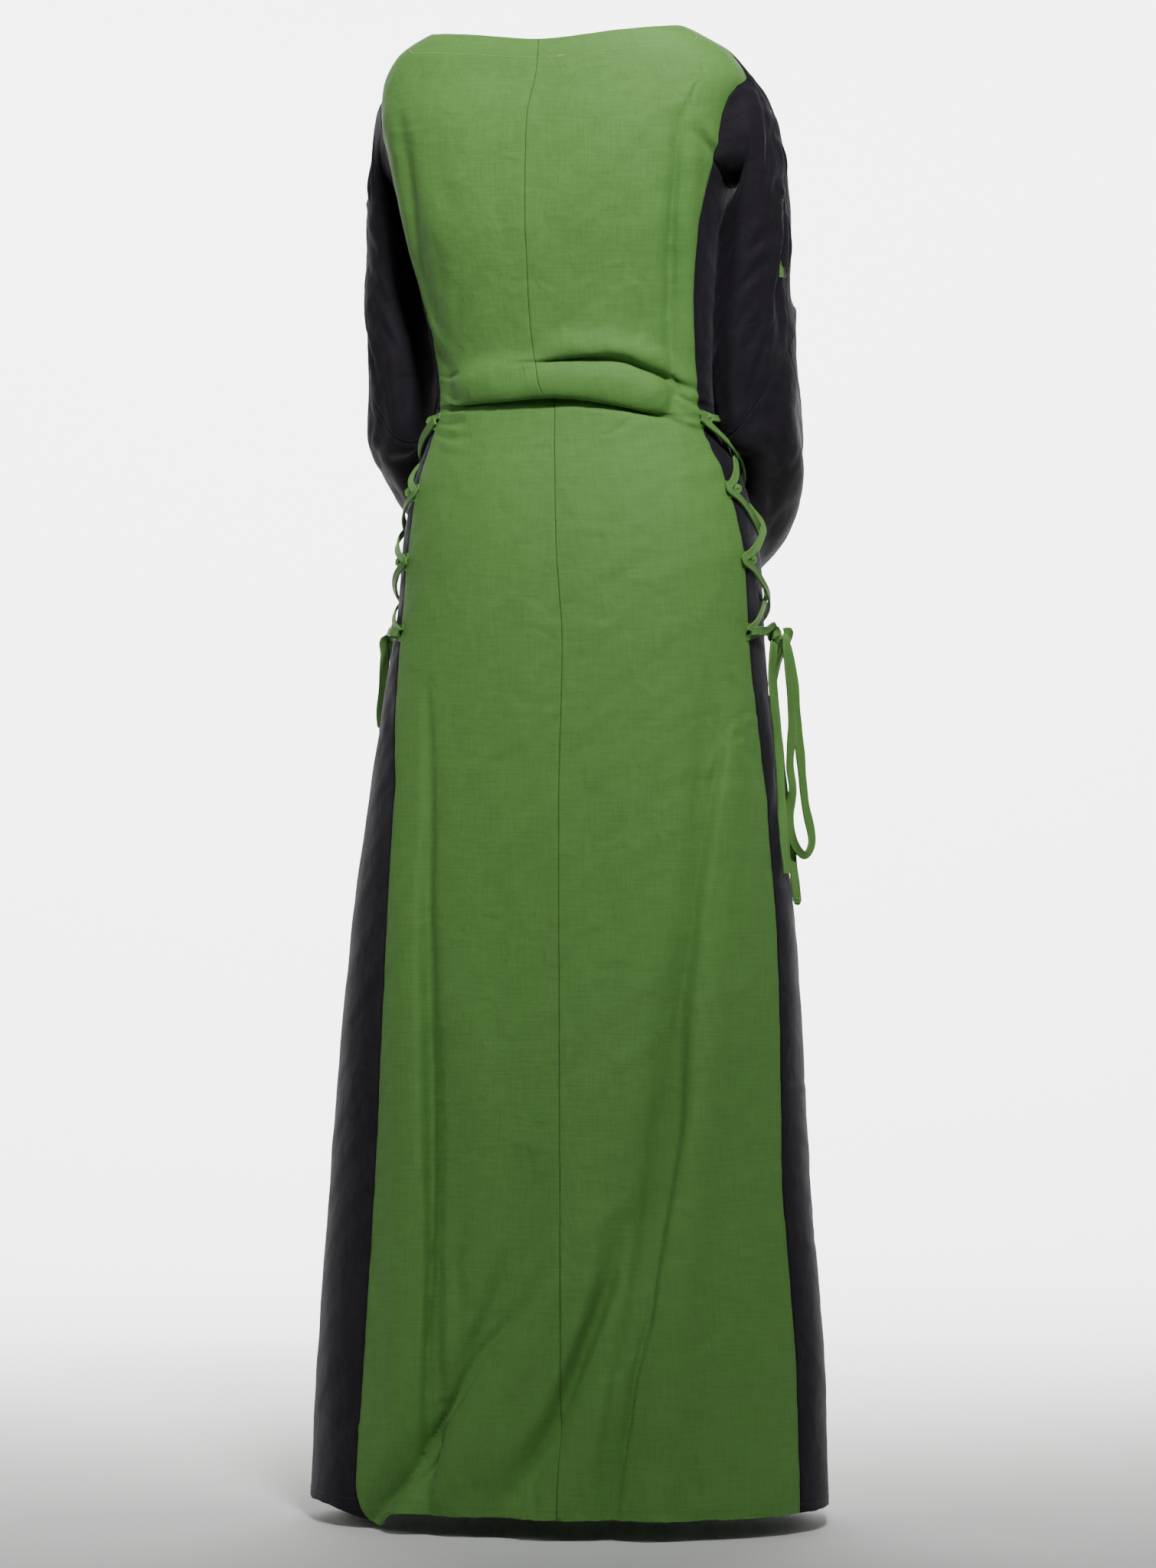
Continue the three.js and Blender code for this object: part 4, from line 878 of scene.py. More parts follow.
def uneven(points, size, seed):
    """Soft unevenness of cloth, a sum of waves that never repeats over the dress."""
    x, y, z = (points[..., k] / size for k in range(3))
    return (np.sin(1.3 * x + 0.7 * z + seed) * np.sin(0.9 * z - 0.6 * y + 1.7 * seed)
            + 0.6 * np.sin(2.3 * x - 1.9 * y + 1.1 * z + 2.3 * seed)
            * np.sin(1.7 * z + 0.8 * x + seed)
            + 0.35 * np.sin(4.1 * x + 3.3 * z + 0.5 * seed) * np.sin(3.7 * y - 2.9 * z))


def cloth_point(turn, z, sink=0.0):
    """A point on the outer face of the body's cloth, with its creases."""
    base = body_point(turn, z)
    normal = body_normal(turn, z)
    behind = smoothstep(np.cos(turn - VIEW_TURN), -0.12, 0.2)
    in_front = smoothstep(-np.cos(turn), 0.1, 0.4)
    seen = seen_from_behind(base[..., 0], base[..., 1])
    move = behind * crease_moves(seen, base[..., 2], CREASES_BEHIND)
    move = move + in_front * crease_moves(base[..., 0], base[..., 2], CREASES_IN_FRONT)
    move = move + 0.45 * uneven(base, 30, 1.0) + 0.3 * uneven(base, 13, 4.0)
    point = base + normal * (WALL / 2 + move - sink)[..., None]
    # The folds over the waist hang down a little over the cloth below them
    for fold, drop in zip(FOLDS_ACROSS, FOLD_DROPS):
        above = base[..., 2] - curve_through(fold["x"], fold["z"], seen)
        inside = (smoothstep(seen, fold["x"][0] + 8, fold["x"][0] + 40)
                  * (1 - smoothstep(seen, fold["x"][3] - 75, fold["x"][3] - 4)))
        point[..., 2] -= behind * inside * drop * bump(above - 5, 9)
    return point, normal


# The green and dark panels of the body
# Two green back panels meet in a seam that wanders, the green front is cut in one, and a dark
# gore runs down each side from the underarm. Every edge is turned in where it is sewn.
EDGE_STEPS = ((0.15, 4.0), (0.15, 1.1), (0.5, 0.42), (1.1, 0.1), (2.0, 0.0), (3.3, 0.0))
THICK = 1.4
CLOTH_SHARP = 65
BACK_COLUMNS = 104
GORE_COLUMNS = 36
FRONT_COLUMNS = 50
HEM_EASE_Z = -1392


def back_edge(side, sign, z):
    return -sign * np.radians(straight_value(SEAM_COLUMNS, SEAMS, f"back_{side}", z))


def front_edge(side, sign, z):
    return -sign * (math.pi
                    - np.radians(straight_value(SEAM_COLUMNS, SEAMS, f"front_{side}", z)))


def centre_back(z):
    return np.radians(smooth_value(CENTRE_BACK_COLUMNS, CENTRE_BACK, "turn", z))


def neckline(turn):
    drop = np.where(np.cos(turn) > 0, NECK_DROP_BACK, NECK_DROP_FRONT)
    return NECK_POINT_Z - drop * np.abs(np.cos(turn)) ** 1.3


def hemline(turn):
    away = np.degrees(turn) + 46
    return HEM_Z - HEM_TAIL_DROP * bump(away, 8)


def panel_rows():
    """Levels of a panel's rows: closer over the waist, with turned edges at neck and hem."""
    rows = [SHOULDER_Z]
    while rows[-1] > HEM_Z + 5:
        z = rows[-1]
        step = 1.9 if -402 < z < -306 else 3.2 if z > -306 else 4.2
        rows.append(z - step)
    return np.array(rows)


def panel_places(start_at, end_at, columns, top="neck"):
    """Turn, height and sink of each point of a panel's grid."""
    body = panel_rows()
    if top == "neck":
        neck = [(0.0, 3.0), (0.0, 0.9), (0.03, 0.3), (0.08, 0.05)] + [
            (part, 0.0) for part in np.linspace(0.14, 0.95, 9)]
    else:
        body = body[body < UNDERARM_Z - 3.2]
        neck = []
    rows = [("neck", part, sink) for part, sink in neck]
    if top != "neck":
        for z, sink in ((UNDERARM_Z, 3.4), (UNDERARM_Z, 1.1), (UNDERARM_Z - 0.5, 0.4),
                        (UNDERARM_Z - 1.2, 0.1), (UNDERARM_Z - 2.2, 0.0)):
            rows.append(("body", z, sink))
    rows += [("body", z, 0.0) for z in body]
    for z, sink in ((HEM_Z + 3.2, 0), (HEM_Z + 2, 0), (HEM_Z + 1.1, 0.1), (HEM_Z + 0.4, 0.4),
                    (HEM_Z, 1.0), (HEM_Z, 3.0)):
        rows.append(("body", z, sink))
    turns, heights, sinks = [], [], []
    for kind, value, row_sink in rows:
        level = NECK_POINT_Z if kind == "neck" else value
        start = float(start_at(level))
        end = float(end_at(SHOULDER_Z if kind == "neck" else value))
        radius = float(level_value("half", min(level, SHOULDER_Z)))
        way = math.copysign(1, end - start)
        steps = [way * e / radius for e, deep in EDGE_STEPS]
        inner = np.linspace(start + steps[-1], end - steps[-1], columns)[1:-1]
        turn = np.concatenate([[start + s for s in steps], inner,
                               [end - s for s in reversed(steps)]])
        deep = np.array([d for e, d in EDGE_STEPS] + [0.0] * len(inner)
                        + [d for e, d in reversed(EDGE_STEPS)])
        part = (turn - start) / (end - start)
        if kind == "neck":
            z = neckline(turn) + (SHOULDER_Z - neckline(turn)) * value
        else:
            z = np.full(len(turn), float(value))
            if value < HEM_EASE_Z:
                part_down = (value - HEM_EASE_Z) / (HEM_Z - HEM_EASE_Z)
                z = HEM_EASE_Z + (hemline(turn) - HEM_EASE_Z) * part_down
            if top != "neck":
                dip = np.interp(-value, (-UNDERARM_Z, 150, 180),
                                (UNDERARM_DIP, UNDERARM_DIP / 2, 0))
                z = z - dip * (1 - (2 * part - 1) ** 2)
        turns.append(turn)
        heights.append(z)
        sinks.append(np.maximum(deep, row_sink))
    return np.array(turns), np.array(heights), np.array(sinks)


def grid_faces(height, width):
    i, j = np.meshgrid(np.arange(height - 1), np.arange(width - 1), indexing="ij")
    first = (i * width + j).ravel()
    return np.stack([first, first + width, first + width + 1, first + 1], axis=1)


def cloth_map(grid):
    """Metres across and along the cloth at each point of a grid."""
    across = np.concatenate([np.zeros((grid.shape[0], 1)),
                             np.cumsum(np.linalg.norm(np.diff(grid, axis=1), axis=2), axis=1)],
                            axis=1)
    across = across - across[:, [grid.shape[1] // 2]]
    middle = grid[:, grid.shape[1] // 2]
    along = walked_along(middle)
    return np.stack([across, np.broadcast_to(along[:, None], across.shape)], axis=2) * MM


def cloth_wall(name, grid, outward, material, node):
    """A wall of cloth: the grid is its outer face, and it grows inwards by its thickness."""
    height, width = grid.shape[:2]
    faces = grid_faces(height, width)
    verts = grid.reshape(-1, 3)
    a, b, c = (verts[faces[:, k]] for k in (0, 1, 3))
    if (np.cross(b - a, c - a) * outward.reshape(-1, 3)[faces[:, 0]]).sum() < 0:
        faces = faces[:, ::-1]
    piece = mesh_piece(name, verts, faces.tolist(), material, cloth_map(grid).reshape(-1, 2))
    bpy.context.view_layer.objects.active = piece
    piece.select_set(True)
    solidify = piece.modifiers.new("cloth", "SOLIDIFY")
    solidify.thickness = THICK * MM
    solidify.offset = -1
    bpy.ops.object.modifier_apply(modifier=solidify.name)
    bpy.ops.object.shade_smooth_by_angle(angle=math.radians(CLOTH_SHARP))
    piece.select_set(False)
    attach(piece, "root")
    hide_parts(node)
    return piece


def thread_material(name, colour):
    material = bpy.data.materials.new(name)
    material.use_nodes = True
    nodes = material.node_tree.nodes
    link = material.node_tree.links.new
    shader = nodes["Principled BSDF"]
    shader.inputs["Roughness"].default_value = 0.5
    twist = nodes.new("ShaderNodeTexNoise")
    twist.inputs["Scale"].default_value = 900
    place = nodes.new("ShaderNodeTexCoord")
    link(place.outputs["Object"], twist.inputs["Vector"])
    shade = nodes.new("ShaderNodeValToRGB")
    shade.color_ramp.elements[0].color = (*(0.75 * c for c in colour), 1)
    shade.color_ramp.elements[1].color = (*(min(1, 1.2 * c) for c in colour), 1)
    link(twist.outputs["Fac"], shade.inputs["Fac"])
    link(shade.outputs["Color"], shader.inputs["Base Color"])
    return material


def stitch_shapes(points, normals, spacing=3.1, length=2.2, radius=0.26, lift=0.1):
    """One small bar of thread after another along a line on the cloth."""
    points = np.asarray(points)
    walked = walked_along(points)
    shapes = []
    for start in np.arange(0.5, walked[-1] - length, spacing):
        normal = unit(places_along(start, walked, normals))
        at = np.array([start, start + length / 2, start + length])
        ends = places_along(at, walked, points) + normal * lift
        along = unit(ends[2] - ends[0])
        across = unit(np.cross(along, normal))
        middle = ends[1] + normal * 0.12
        verts = [ends[0] - normal * radius, *(middle + radius * (across * u + normal * v)
                 for u, v in ((1, 0), (0.5, 0.85), (-0.5, 0.85), (-1, 0))),
                 ends[2] - normal * radius]
        faces = [(0, 1, 2), (0, 2, 3), (0, 3, 4), (5, 2, 1), (5, 3, 2), (5, 4, 3),
                 (0, 4, 1), (5, 1, 4)]
        shapes.append((verts, faces, [(0, 0)] * 6))
    return shapes


def stitch_piece(name, shapes, material):
    return closed_piece(name, shapes, material, False)


green = cloth_material("green_weave", (0.105, 0.25, 0.056), GREEN_LOOK,
                       thread_pitch=0.0009, crumple=0.0026, slub=0.3, cloud=0.16)
dark = cloth_material("dark_weave", (0.0125, 0.0105, 0.015), DARK_LOOK,
                      thread_pitch=0.0008, crumple=0.0026, slub=0.25, cloud=0.3)
pale_thread = thread_material("pale_green_thread", (0.36, 0.6, 0.24))
green_thread = thread_material("green_thread", (0.06, 0.15, 0.03))
dark_thread = thread_material("dark_thread", (0.03, 0.027, 0.034))

for side, sign in SIDES:
    turns, heights, sinks = panel_places(
        centre_back, lambda z: back_edge(side, sign, z), BACK_COLUMNS)
    grid, outward = cloth_point(turns, heights, sinks)
    panel = cloth_wall(f"green_back_{side}", grid, outward, green, f"back_{side}")
    turns, heights, sinks = panel_places(
        lambda z: back_edge(side, sign, z), lambda z: front_edge(side, sign, z),
        GORE_COLUMNS, "underarm")
    grid, outward = cloth_point(turns, heights, sinks)
    gore = cloth_wall(f"dark_gore_{side}", grid, outward, dark,
                      f"side_panel_{side}")
turns, heights, sinks = panel_places(
    lambda z: front_edge("right", -1, z), lambda z: front_edge("left", 1, z) + 2 * math.pi,
    FRONT_COLUMNS)
grid, outward = cloth_point(turns, heights, sinks)
front = cloth_wall("green_front", grid, outward, green, "front")

# Sewing of the body
# A pale line of machine stitches holds the neck facing, and darker ones the long edges, the
# centre back seam and the narrow hem.
EDGE_STITCH_IN = 2.8
CENTRE_STITCH_IN = 1.6
HEM_STITCH_UP = 9
neck_shapes, edge_shapes = [], []
for start, end in ((-1.55, 1.55), (1.62, 4.66)):
    turn = np.linspace(start, end, 260)
    fall = 15 * smoothstep(np.abs(np.cos(turn)), 0.0, 0.35) + 4
    points, normals = cloth_point(turn, neckline(turn) - fall)
    neck_shapes += stitch_shapes(points, normals, spacing=3, length=2.4, radius=0.42)
tangle = cloth_point(np.linspace(0.17, 0.3, 12), np.full(12, -22.5))
for shift in (-0.6, 0.1, 0.7):
    moved = tangle[0] + np.array([0, 0, shift])
    neck_shapes += stitch_shapes(moved, tangle[1], spacing=1.3, length=2.6, radius=0.3)
stitch_piece("neck_stitches", neck_shapes, pale_thread)
for side, sign in SIDES:
    level = np.linspace(UNDERARM_Z - 4, HEM_Z + 2, 420)
    radius = level_value("half", level)
    for turn in (back_edge(side, sign, level) + sign * EDGE_STITCH_IN / radius,
                 front_edge(side, sign, level) - sign * EDGE_STITCH_IN / radius):
        points, normals = cloth_point(turn, level)
        edge_shapes += stitch_shapes(points, normals)
level = np.linspace(-20, HEM_Z + 2, 420)
beside_seam = CENTRE_STITCH_IN / level_value("half", level)
points, normals = cloth_point(centre_back(level) + beside_seam, level)
edge_shapes += stitch_shapes(points, normals, spacing=3.4, length=2.0, radius=0.22)
stitch_piece("edge_stitches", edge_shapes, green_thread)
for start, end, material in ((-50, 74, green_thread), (130, 298, green_thread),
                             (74, 130, dark_thread), (298, 310, dark_thread)):
    turn = np.radians(np.linspace(start, end, 6 * int(end - start)))
    points, normals = cloth_point(turn, hemline(turn) + HEM_STITCH_UP)
    shapes = stitch_shapes(points, normals)
    stitch_piece(f"hem_stitches_{start + 50}", shapes, material)

# The sleeves
# Each is a dark upper sleeve that is slashed down its outer side, over a green strip that
# shows between the tacks, and a wide trumpet that is sewn on slantwise at the elbow.
RING_COLUMNS = ("x", "y", "z", "side", "deep", "pitch", "yaw", "roll", "left_x")
SLEEVE_RINGS = {
    "cap": (193, -9, -108, 44, 46, -6, 0, 76, -1),
    "upper": (185, -22, -160, 36, 51, -4, 0, 30, 2),
    "bicep": (181, -32, -202, 35, 54, 0, 0, 4, 6),
    "arm": (177, -38, -250, 36, 56, 6, -2, 6, 14),
    "low": (177, -44, -292, 41, 66, 28, -6, 25, 14),
    "elbow seam": (181, -48, -328, 41, 82, 49, -12, 36, 14),
    "elbow": (183, -62, -352, 36, 74, 56, 8, 20, 12),
    "forearm": (170, -108, -384, 41, 86, 66, 24, 10, 10),
    "flare": (142, -156, -416, 46, 100, 74, 38, 4, 8),
    "cuff": (100, -198, -432, 52, 112, 80, 48, 0, 8),
}
ELBOW_SEAM_RING = 6
CUFF_RING = 10
LEFT_ARM_BACK = -10
ARMHOLE_GAP = 0.7
ARMHOLE_TIP_GAP = 2.4
ARMHOLE_MIDDLE = (101, -82)
# Where the sleeve's columns start on the armhole, and their turn: 90 is the outer side,
# 0 the back, -90 the inner side and -180 the front
ARMHOLE = (
    ("back", SHOULDER_Z, 92), ("back", -26, 80), ("back", -41, 66), ("back", -50, 52),
    ("back", -62, 40), ("back", -80, 24), ("back", -102, 4), ("back", UNDERARM_Z, -18),
    ("side", 0.25, -52), ("side", 0.5, -90), ("side", 0.75, -128),
    ("front", UNDERARM_Z, -162), ("front", -102, -184), ("front", -80, -203),
    ("front", -62, -218), ("front", -50, -230), ("front", -41, -240), ("front", -26, -254),
    ("back", SHOULDER_Z, -268),
)
UNDERARM_FIRST, UNDERARM_LAST = 7, 11
SLASHES = ((1.1, 1.36, 6), (1.46, 1.88, 11), (2.5, 3.5, 9))
BIG_SLEEVE_FOLDS = ((74, 3.2, 5.3, -4, 9), (30, 4.4, 6.6, -4, 16), (-24, 1.4, 4, -3, 14),
                    (50, 6.8, 10.6, 5, 18), (10, 7.2, 10.6, -5, 16), (-150, 7.5, 10.6, -6, 20))
# Creases by turn and by place down the rings, then depth, width and ridge in mm
SLEEVE_CREASES = {
    "from the shoulder": (((70, 0.5), (62, 1.0), (50, 1.5), (36, 2.1)), 2, 6, 1.5),
    "under the slash": (((84, 1.9), (78, 2.4), (76, 2.9)), 2.2, 4, 1.5),
    "deep outer fold": (((76, 2.6), (72, 3.2), (70, 3.9), (66, 4.7)), 4, 4, 2),
    "puff over the slash": (((86, 1.38), (70, 1.42), (52, 1.5)), 2.2, 5, 1.8),
    "puff below the slash": (((86, 1.95), (66, 2.0), (48, 2.2)), 2.2, 5, 1.6),
    "small puff": (((88, 2.2), (76, 2.28), (64, 2.3)), 1.6, 4, 1.2),
    "slant at mid arm 1": (((58, 2.6), (36, 2.9), (12, 3.3)), 1.6, 6, 1.1),
    "slant at mid arm 2": (((50, 3.3), (26, 3.6), (0, 4.0)), 2, 6, 1.4),
    "slant at mid arm 3": (((40, 4.0), (16, 4.3), (-10, 4.7)), 1.8, 7, 1.2),
    "elbow pleat 1": (((64, 4.6), (48, 5.1), (40, 5.6)), 1.8, 5, 1.2),
    "elbow pleat 2": (((20, 4.7), (14, 5.2), (12, 5.8)), 1.6, 6, 1),
    "elbow pleat 3": (((-16, 4.6), (-18, 5.2), (-14, 5.7)), 1.6, 6, 1),
    "back of the arm": (((-6, 0.6), (-12, 1.4), (-16, 2.2)), 1.6, 8, 1),
    "inner arm 1": (((-60, 1.0), (-58, 1.9), (-66, 2.8)), 2, 8, 1),
    "inner arm 2": (((-100, 1.4), (-96, 2.4), (-104, 3.4)), 2, 8, 1),
    "inner arm 3": (((-60, 3.2), (-76, 3.8), (-96, 4.2)), 1.8, 6, 1),
    "front of the arm 1": (((-150, 0.8), (-160, 1.6), (-156, 2.6)), 1.8, 8, 1),
    "front of the arm 2": (((-200, 1.2), (-196, 2.2), (-206, 3.2)), 1.8, 8, 1),
    "front of the arm 3": (((-230, 2.4), (-214, 3.2), (-190, 3.8)), 1.8, 6, 1),
    "crook of the arm 1": (((-140, 4.2), (-170, 4.5), (-200, 4.4)), 2.2, 5, 1.4),
    "crook of the arm 2": (((-130, 4.7), (-160, 5.0), (-190, 5.0)), 2.2, 5, 1.4),
    "below the elbow 1": (((60, 6.2), (44, 6.6), (34, 7.1)), 1.6, 6, 1),
    "below the elbow 2": (((24, 6.4), (22, 6.9), (28, 7.6)), 1.6, 7, 1),
    "trumpet line 1": (((74, 7.0), (66, 8.0), (70, 9.2)), 1.8, 8, 1),
    "trumpet line 2": (((-30, 6.8), (-40, 8.0), (-34, 9.4)), 2, 9, 1),
    "trumpet line 3": (((-90, 7.2), (-84, 8.4), (-92, 9.6)), 2, 9, 1),
    "trumpet line 4": (((-200, 7.0), (-206, 8.2), (-198, 9.4)), 2, 9, 1),
    "trumpet crossing 1": (((56, 7.5), (34, 7.6), (12, 7.5)), 1.2, 5, 0.8),
    "trumpet crossing 2": (((52, 8.4), (30, 8.3), (6, 8.5)), 1, 5, 0.7),
}
TURN_MM = 0.8
PLACE_MM = 45
RING_POINTS = 181
SLEEVE_COLUMNS = 120


def ring_point(sign, row, turn):
    ring = dict(zip(RING_COLUMNS, row))
    pitch, yaw, roll = (math.radians(ring[name]) for name in ("pitch", "yaw", "roll"))
    outward = np.array([math.cos(yaw) * math.cos(roll), -math.sin(yaw) * math.cos(roll),
                        math.sin(roll)])
    backward = np.array([math.sin(yaw) * math.cos(pitch), math.cos(yaw) * math.cos(pitch),
                         -math.sin(pitch)])
    point = (np.array([ring["x"], ring["y"], ring["z"]])
             + ring["side"] * np.sin(turn)[:, None] * outward
             + ring["deep"] * np.cos(turn)[:, None] * backward)
    if sign > 0:
        point = point + np.array([ring["left_x"], LEFT_ARM_BACK, 0])
    return point * np.array([sign, 1, 1])


def armhole_place(side, sign, column):
    """Turn and height on the armhole's edge, for a column that may lie between two."""
    i = min(int(column), len(ARMHOLE) - 2)
    if UNDERARM_FIRST <= column <= UNDERARM_LAST:
        across = (column - UNDERARM_FIRST) / (UNDERARM_LAST - UNDERARM_FIRST)
        start = float(back_edge(side, sign, UNDERARM_Z))
        end = float(front_edge(side, sign, UNDERARM_Z))
        arch = 1 - (2 * across - 1) ** 2
        return start + (end - start) * across, UNDERARM_Z - UNDERARM_DIP * arch
    ends = []
    for edge, z, turn in ARMHOLE[i:i + 2]:
        on_front = edge == "front" or column > UNDERARM_LAST
        ends.append((float((front_edge if on_front else back_edge)(side, sign, z)), z))
    part = column - i
    return tuple(ends[0][k] + (ends[1][k] - ends[0][k]) * part for k in (0, 1))


def armhole_edge(side, sign, columns):
    """The sleeve's first ring: the armhole's edge, moved into the armhole by its gap."""
    def edge_point(column):
        turn, z = armhole_place(side, sign, column)
        return body_point(turn, z)

    last = len(ARMHOLE) - 1
    hole = body_point(-sign * math.radians(ARMHOLE_MIDDLE[0]), ARMHOLE_MIDDLE[1])
    offsets = []
    for index in range(last + 1):
        turn, z = armhole_place(side, sign, index)
        point = edge_point(index)
        normal = body_normal(turn, z)
        if index in (0, last):
            down = unit(edge_point(1) - point) + unit(edge_point(last - 1) - point)
            offsets.append(ARMHOLE_TIP_GAP * unit(down))
            continue
        off = unit(np.cross(edge_point(index + 1) - edge_point(index - 1), normal))
        if off @ (hole - point) < 0:
            off = -off
        offsets.append(ARMHOLE_GAP * off)
    offsets = np.array(offsets)
    points, normals = [], []
    for column in columns:
        turn, z = armhole_place(side, sign, column)
        move = places_along(column, np.arange(last + 1), offsets)
        points.append(edge_point(column) + move)
        normals.append(body_normal(turn, z))
    return np.array(points), np.array(normals)


def sleeve_row(knots, place):
    i = min(int(place), len(knots) - 2)
    f = place - i
    before, after = knots[max(i - 1, 0)], knots[min(i + 2, len(knots) - 1)]
    start = 0.5 * (knots[i + 1] - before)
    end = 0.5 * (after - knots[i])
    return (knots[i] * (2 * f ** 3 - 3 * f * f + 1) + start * (f ** 3 - 2 * f * f + f)
            + knots[i + 1] * (3 * f * f - 2 * f ** 3) + end * (f ** 3 - f * f))


def slash_half(place):
    for top, low, width in SLASHES:
        if top < place < low:
            return width / 2 * math.sin(math.pi * (place - top) / (low - top))
    return 0.0


def sleeve_knots(side, sign):
    """The sleeve's rings from the armhole to the cuff, the turn of their points, and the way
    out of the cloth at the armhole."""
    fine = np.linspace(0, len(ARMHOLE) - 1, RING_POINTS)
    turn = np.radians(np.interp(fine, np.arange(len(ARMHOLE)), [row[2] for row in ARMHOLE]))
    start, start_normal = armhole_edge(side, sign, fine)
    rings = [ring_point(sign, row, turn) for row in SLEEVE_RINGS.values()]
    return [start] + rings, turn, start_normal


def sleeve_grid(side, sign, places, edges):
    """Outer face of a stretch of sleeve, open along its outer seam. Edges gives each row's
    sink, where the cloth is turned in at a seam or hem."""
    knots, turn, start_normal = sleeve_knots(side, sign)
    grid, outward, shown_turn = [], [], []
    for place, sink in zip(places, edges):
        row = sleeve_row(knots, place)
        above = sleeve_row(knots, max(place - 0.05, 0))
        below = sleeve_row(knots, min(place + 0.05, CUFF_RING))
        around = np.vstack([row[1:], row[1:2]]) - np.vstack([row[-2:-1], row[:-1]])
        normal = unit(np.cross(around, below - above))
        if ((row - row.mean(0)) * normal).sum() < 0:
            normal = -normal
        blend = float(np.clip(1 - place / 0.5, 0, 1))
        normal = unit(normal * (1 - blend) + start_normal * blend)
        walked = walked_along(row)
        half = slash_half(place)
        rim = [half + e for e, deep in EDGE_STEPS]
        inner = np.linspace(rim[-1], walked[-1] - rim[-1], SLEEVE_COLUMNS)[1:-1]
        at = np.concatenate([rim, inner, [walked[-1] - e for e in reversed(rim)]])
        deep = np.array([d for e, d in EDGE_STEPS] + [0.0] * len(inner)
                        + [d for e, d in reversed(EDGE_STEPS)])
        to_seam = np.minimum(at, walked[-1] - at)
        lip = 1.6 * (half / 5) * bump(to_seam - half - 2, 6)
        above_elbow = 1 - 0.85 * float(smoothstep(place, 3.6, 4.4))
        pinch = -2.2 * bump(to_seam, 9) * above_elbow * (half == 0)
        here = np.degrees(np.interp(at, walked, turn))
        point = places_along(at, walked, row)
        face = unit(places_along(at, walked, normal))
        move = lip + pinch
        for fold_turn, top, low, depth, width in BIG_SLEEVE_FOLDS:
            away = np.mod(here - fold_turn + 180, 360) - 180
            inside = smoothstep(place, top - 0.3, top + 0.5) * (
                1 - smoothstep(place, low - 0.5, low + 0.3))
            move = move + depth * inside * bump(away, width)
        grid.append((point, face, move - np.maximum(deep, sink)))
        outward.append(face)
        shown_turn.append(here)
    points = np.array([g[0] for g in grid])
    faces = np.array([g[1] for g in grid])
    moves = np.array([g[2] for g in grid])
    turns_shown = np.array(shown_turn)
    downs = np.broadcast_to(np.array(places)[:, None], turns_shown.shape)
    wrinkle = crease_moves(turns_shown * TURN_MM, -downs * PLACE_MM, {
        name: (tuple((t * TURN_MM, -p * PLACE_MM) for t, p in spots), depth, width, ridge)
        for name, (spots, depth, width, ridge) in SLEEVE_CREASES.items()})
    moves = moves + wrinkle * smoothstep(downs, 0.05, 0.5)
    moves = moves + smoothstep(downs, 0, 0.4) * (
        0.5 * uneven(points, 24, 2.0 + sign) + 0.35 * uneven(points, 10, 5.0 + sign))
    return points + faces * (WALL / 2 + moves)[..., None], faces


# How far each of the two stops short of the elbow seam, in rings. Below zero it goes past it,
# so that they overlap by about 0.4 mm and nothing shows between them
SEAM_STEP = -0.006
# How deep the rows of a turned edge are sunk, in mm, and how far from it they lie, in rings
TURNED = (3.2, 1.0, 0.35, 0.08)
TURNED_AT = (0.0, 0.004, 0.014, 0.03)
UPPER_ROWS = 138
TRUMPET_ROWS = 96


def sleeve_cloth(name, first, inner, last, node):
    """A stretch of sleeve between two turned edges."""
    edges = list(TURNED) + [0.0] * len(inner) + list(reversed(TURNED))
    grid, outward = sleeve_grid(side, sign, [*first, *inner, *last], edges)
    return cloth_wall(name, grid, outward, dark, node)


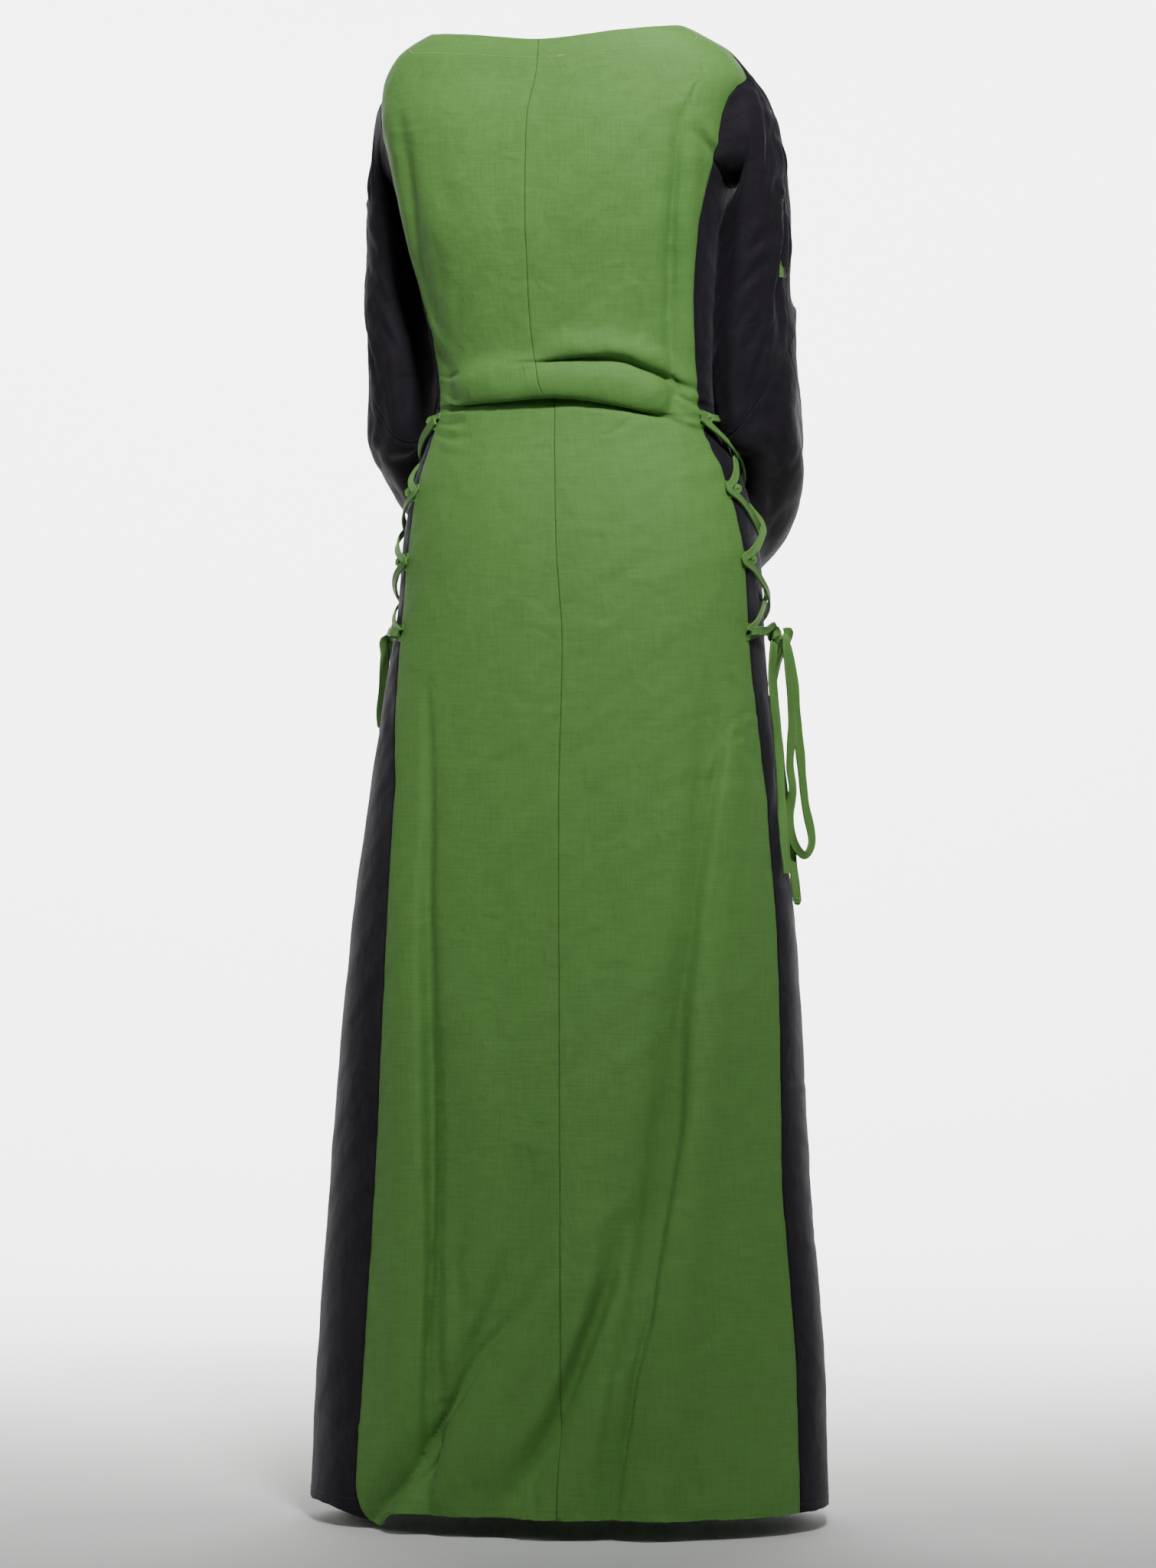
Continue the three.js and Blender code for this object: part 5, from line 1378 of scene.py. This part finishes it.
for side, sign in SIDES:
    end = [ELBOW_SEAM_RING - SEAM_STEP - x for x in reversed(TURNED_AT)]
    inner = np.linspace(0.06, ELBOW_SEAM_RING - SEAM_STEP - 0.05, UPPER_ROWS)
    sleeve = sleeve_cloth(f"dark_upper_sleeve_{side}", (0, 0, 0.012, 0.03), inner, end,
                          f"sleeve_upper_{side}")
    start = [ELBOW_SEAM_RING + SEAM_STEP + x for x in TURNED_AT]
    inner = np.linspace(start[-1] + 0.03, CUFF_RING - 0.05, TRUMPET_ROWS)
    end = [CUFF_RING - x for x in reversed(TURNED_AT)]
    trumpet = sleeve_cloth(f"dark_trumpet_{side}", start, inner, end, f"sleeve_lower_{side}")

    # Edge stitches on both sides of the elbow seam and round the cuff
    lines = []
    for place in (ELBOW_SEAM_RING - 0.07, ELBOW_SEAM_RING + 0.08, CUFF_RING - 0.2):
        rows, faces = sleeve_grid(side, sign, [place, place + 0.01], [0, 0])
        lines += stitch_shapes(rows[0][4:-4], faces[0][4:-4], spacing=3.3)
    stitch_piece(f"sleeve_stitches_{side}", lines, dark_thread)

    # The green strip behind the slashes swells a little through them
    knots, turn, start_normal = sleeve_knots(side, sign)
    strip, faces = [], []
    for place in np.linspace(1.05, 3.7, 120):
        row = sleeve_row(knots, place)
        below = sleeve_row(knots, place + 0.05)
        seam = row[0]
        round_way = unit(row[2] - row[-3])
        down_way = unit(below[0] - seam)
        out_way = unit(np.cross(round_way, down_way))
        if out_way @ (seam - row.mean(0)) < 0:
            out_way = -out_way
        walked = walked_along(row)
        half = slash_half(place)
        line, line_faces = [], []
        for offset in np.linspace(-15, 15, 25):
            at = offset if offset >= 0 else walked[-1] + offset
            point = places_along(at, walked, row)
            swell = 1.3 * (half / 5) * bump(offset, 4)
            ripple = 0.3 * math.sin(offset * 0.8 + 9 * place)
            line.append(point + out_way * (-1.6 + swell + ripple))
            line_faces.append(out_way)
        strip.append(line)
        faces.append(line_faces)
    under = cloth_wall(f"green_under_slash_{side}", np.array(strip), np.array(faces), green,
                       f"slash_{side}")

# The floor, the backdrop and the light
# The dress is held up by its wearer, so the pale floor lies just under the hem and curves up
# into a plain backdrop, which a camera behind it sees through. One soft light stands high
# behind the camera and a weaker one at each side, and two more light the backdrop.
FLOOR_Z = -1.471
ROOM_LIGHT = 0.05
WALL_AWAY = -4.6
SWEEP_RADIUS = 1.6
bend = np.radians(np.linspace(0, 90, 15))
profile = [(9.0, FLOOR_Z)]
profile += [(WALL_AWAY - SWEEP_RADIUS * math.sin(a) + SWEEP_RADIUS,
             FLOOR_Z + SWEEP_RADIUS * (1 - math.cos(a))) for a in bend]
profile.append((WALL_AWAY, 7.0))
side_way = Vector((math.cos(VIEW_TURN), math.sin(VIEW_TURN), 0))
sweep_verts = []
for ahead, height in profile:
    for aside in (-7, 7):
        spot = view_way * ahead + side_way * aside
        sweep_verts.append((spot.x, spot.y, height))
sweep_faces = [(2 * i, 2 * i + 2, 2 * i + 3, 2 * i + 1) for i in range(len(profile) - 1)]
sweep_mesh = bpy.data.meshes.new("pale_backdrop")
sweep_mesh.from_pydata(sweep_verts, [], sweep_faces)
sweep = bpy.data.objects.new("pale_backdrop", sweep_mesh)
bpy.context.scene.collection.objects.link(sweep)
bpy.context.view_layer.objects.active = sweep
sweep.select_set(True)
bpy.ops.object.shade_smooth()
sweep.select_set(False)
paper = bpy.data.materials.new("pale_paper")
paper.use_nodes = True
paper_shader = paper.node_tree.nodes["Principled BSDF"]
paper_shader.inputs["Base Color"].default_value = (0.86, 0.86, 0.85, 1)
paper_shader.inputs["Roughness"].default_value = 0.9
paper_nodes = paper.node_tree.nodes
paper_links = paper.node_tree.links
paper_side = paper_nodes.new("ShaderNodeNewGeometry")
paper_ray = paper_nodes.new("ShaderNodeLightPath")
from_behind = paper_nodes.new("ShaderNodeMath")
from_behind.operation = "MULTIPLY"
clear = paper_nodes.new("ShaderNodeBsdfTransparent")
paper_or_clear = paper_nodes.new("ShaderNodeMixShader")
paper_links.new(paper_side.outputs["Backfacing"], from_behind.inputs[0])
paper_links.new(paper_ray.outputs["Is Camera Ray"], from_behind.inputs[1])
paper_links.new(from_behind.outputs[0], paper_or_clear.inputs[0])
paper_links.new(paper_shader.outputs[0], paper_or_clear.inputs[1])
paper_links.new(clear.outputs[0], paper_or_clear.inputs[2])
paper_links.new(paper_or_clear.outputs[0], paper_nodes["Material Output"].inputs["Surface"])
sweep_mesh.materials.append(paper)


def softbox(name, azimuth, height, distance, size, power, look_at, spread):
    """A large soft panel of light, placed by its turn round the dress."""
    angle = math.radians(azimuth)
    place = Vector((math.sin(angle) * distance, -math.cos(angle) * distance, height))
    bpy.ops.object.light_add(type="AREA", location=place)
    lamp = bpy.context.object
    lamp.name = name
    lamp.data.shape = "RECTANGLE"
    lamp.data.size = size[0]
    lamp.data.size_y = size[1]
    lamp.data.energy = power
    lamp.data.spread = math.radians(spread)
    lamp.rotation_euler = (Vector(look_at) - place).to_track_quat("-Z", "Y").to_euler()


softbox("high_panel", 206, 2.1, 2.5, (0.5, 0.4), 26, (0, 0, 0.42), 62)
softbox("left_panel", 128, 0.9, 3.4, (0.6, 1.2), 3.5, (0, 0, -0.2), 80)
softbox("right_panel", 262, 0.9, 3.4, (0.6, 1.2), 2, (0, 0, -0.2), 80)
softbox("backdrop_panel_left", 75, 1.2, 3.4, (1.5, 1.5), 330, (0.6, -4.5, 0), 120)
softbox("backdrop_panel_right", -45, 1.2, 3.4, (1.5, 1.5), 330, (2.0, -4.2, 0), 120)
world = bpy.data.worlds.new("soft_room")
world.use_nodes = True
world.node_tree.nodes["Background"].inputs[0].default_value = (0.95, 0.97, 1, 1)
world.node_tree.nodes["Background"].inputs[1].default_value = ROOM_LIGHT
bpy.context.scene.world = world
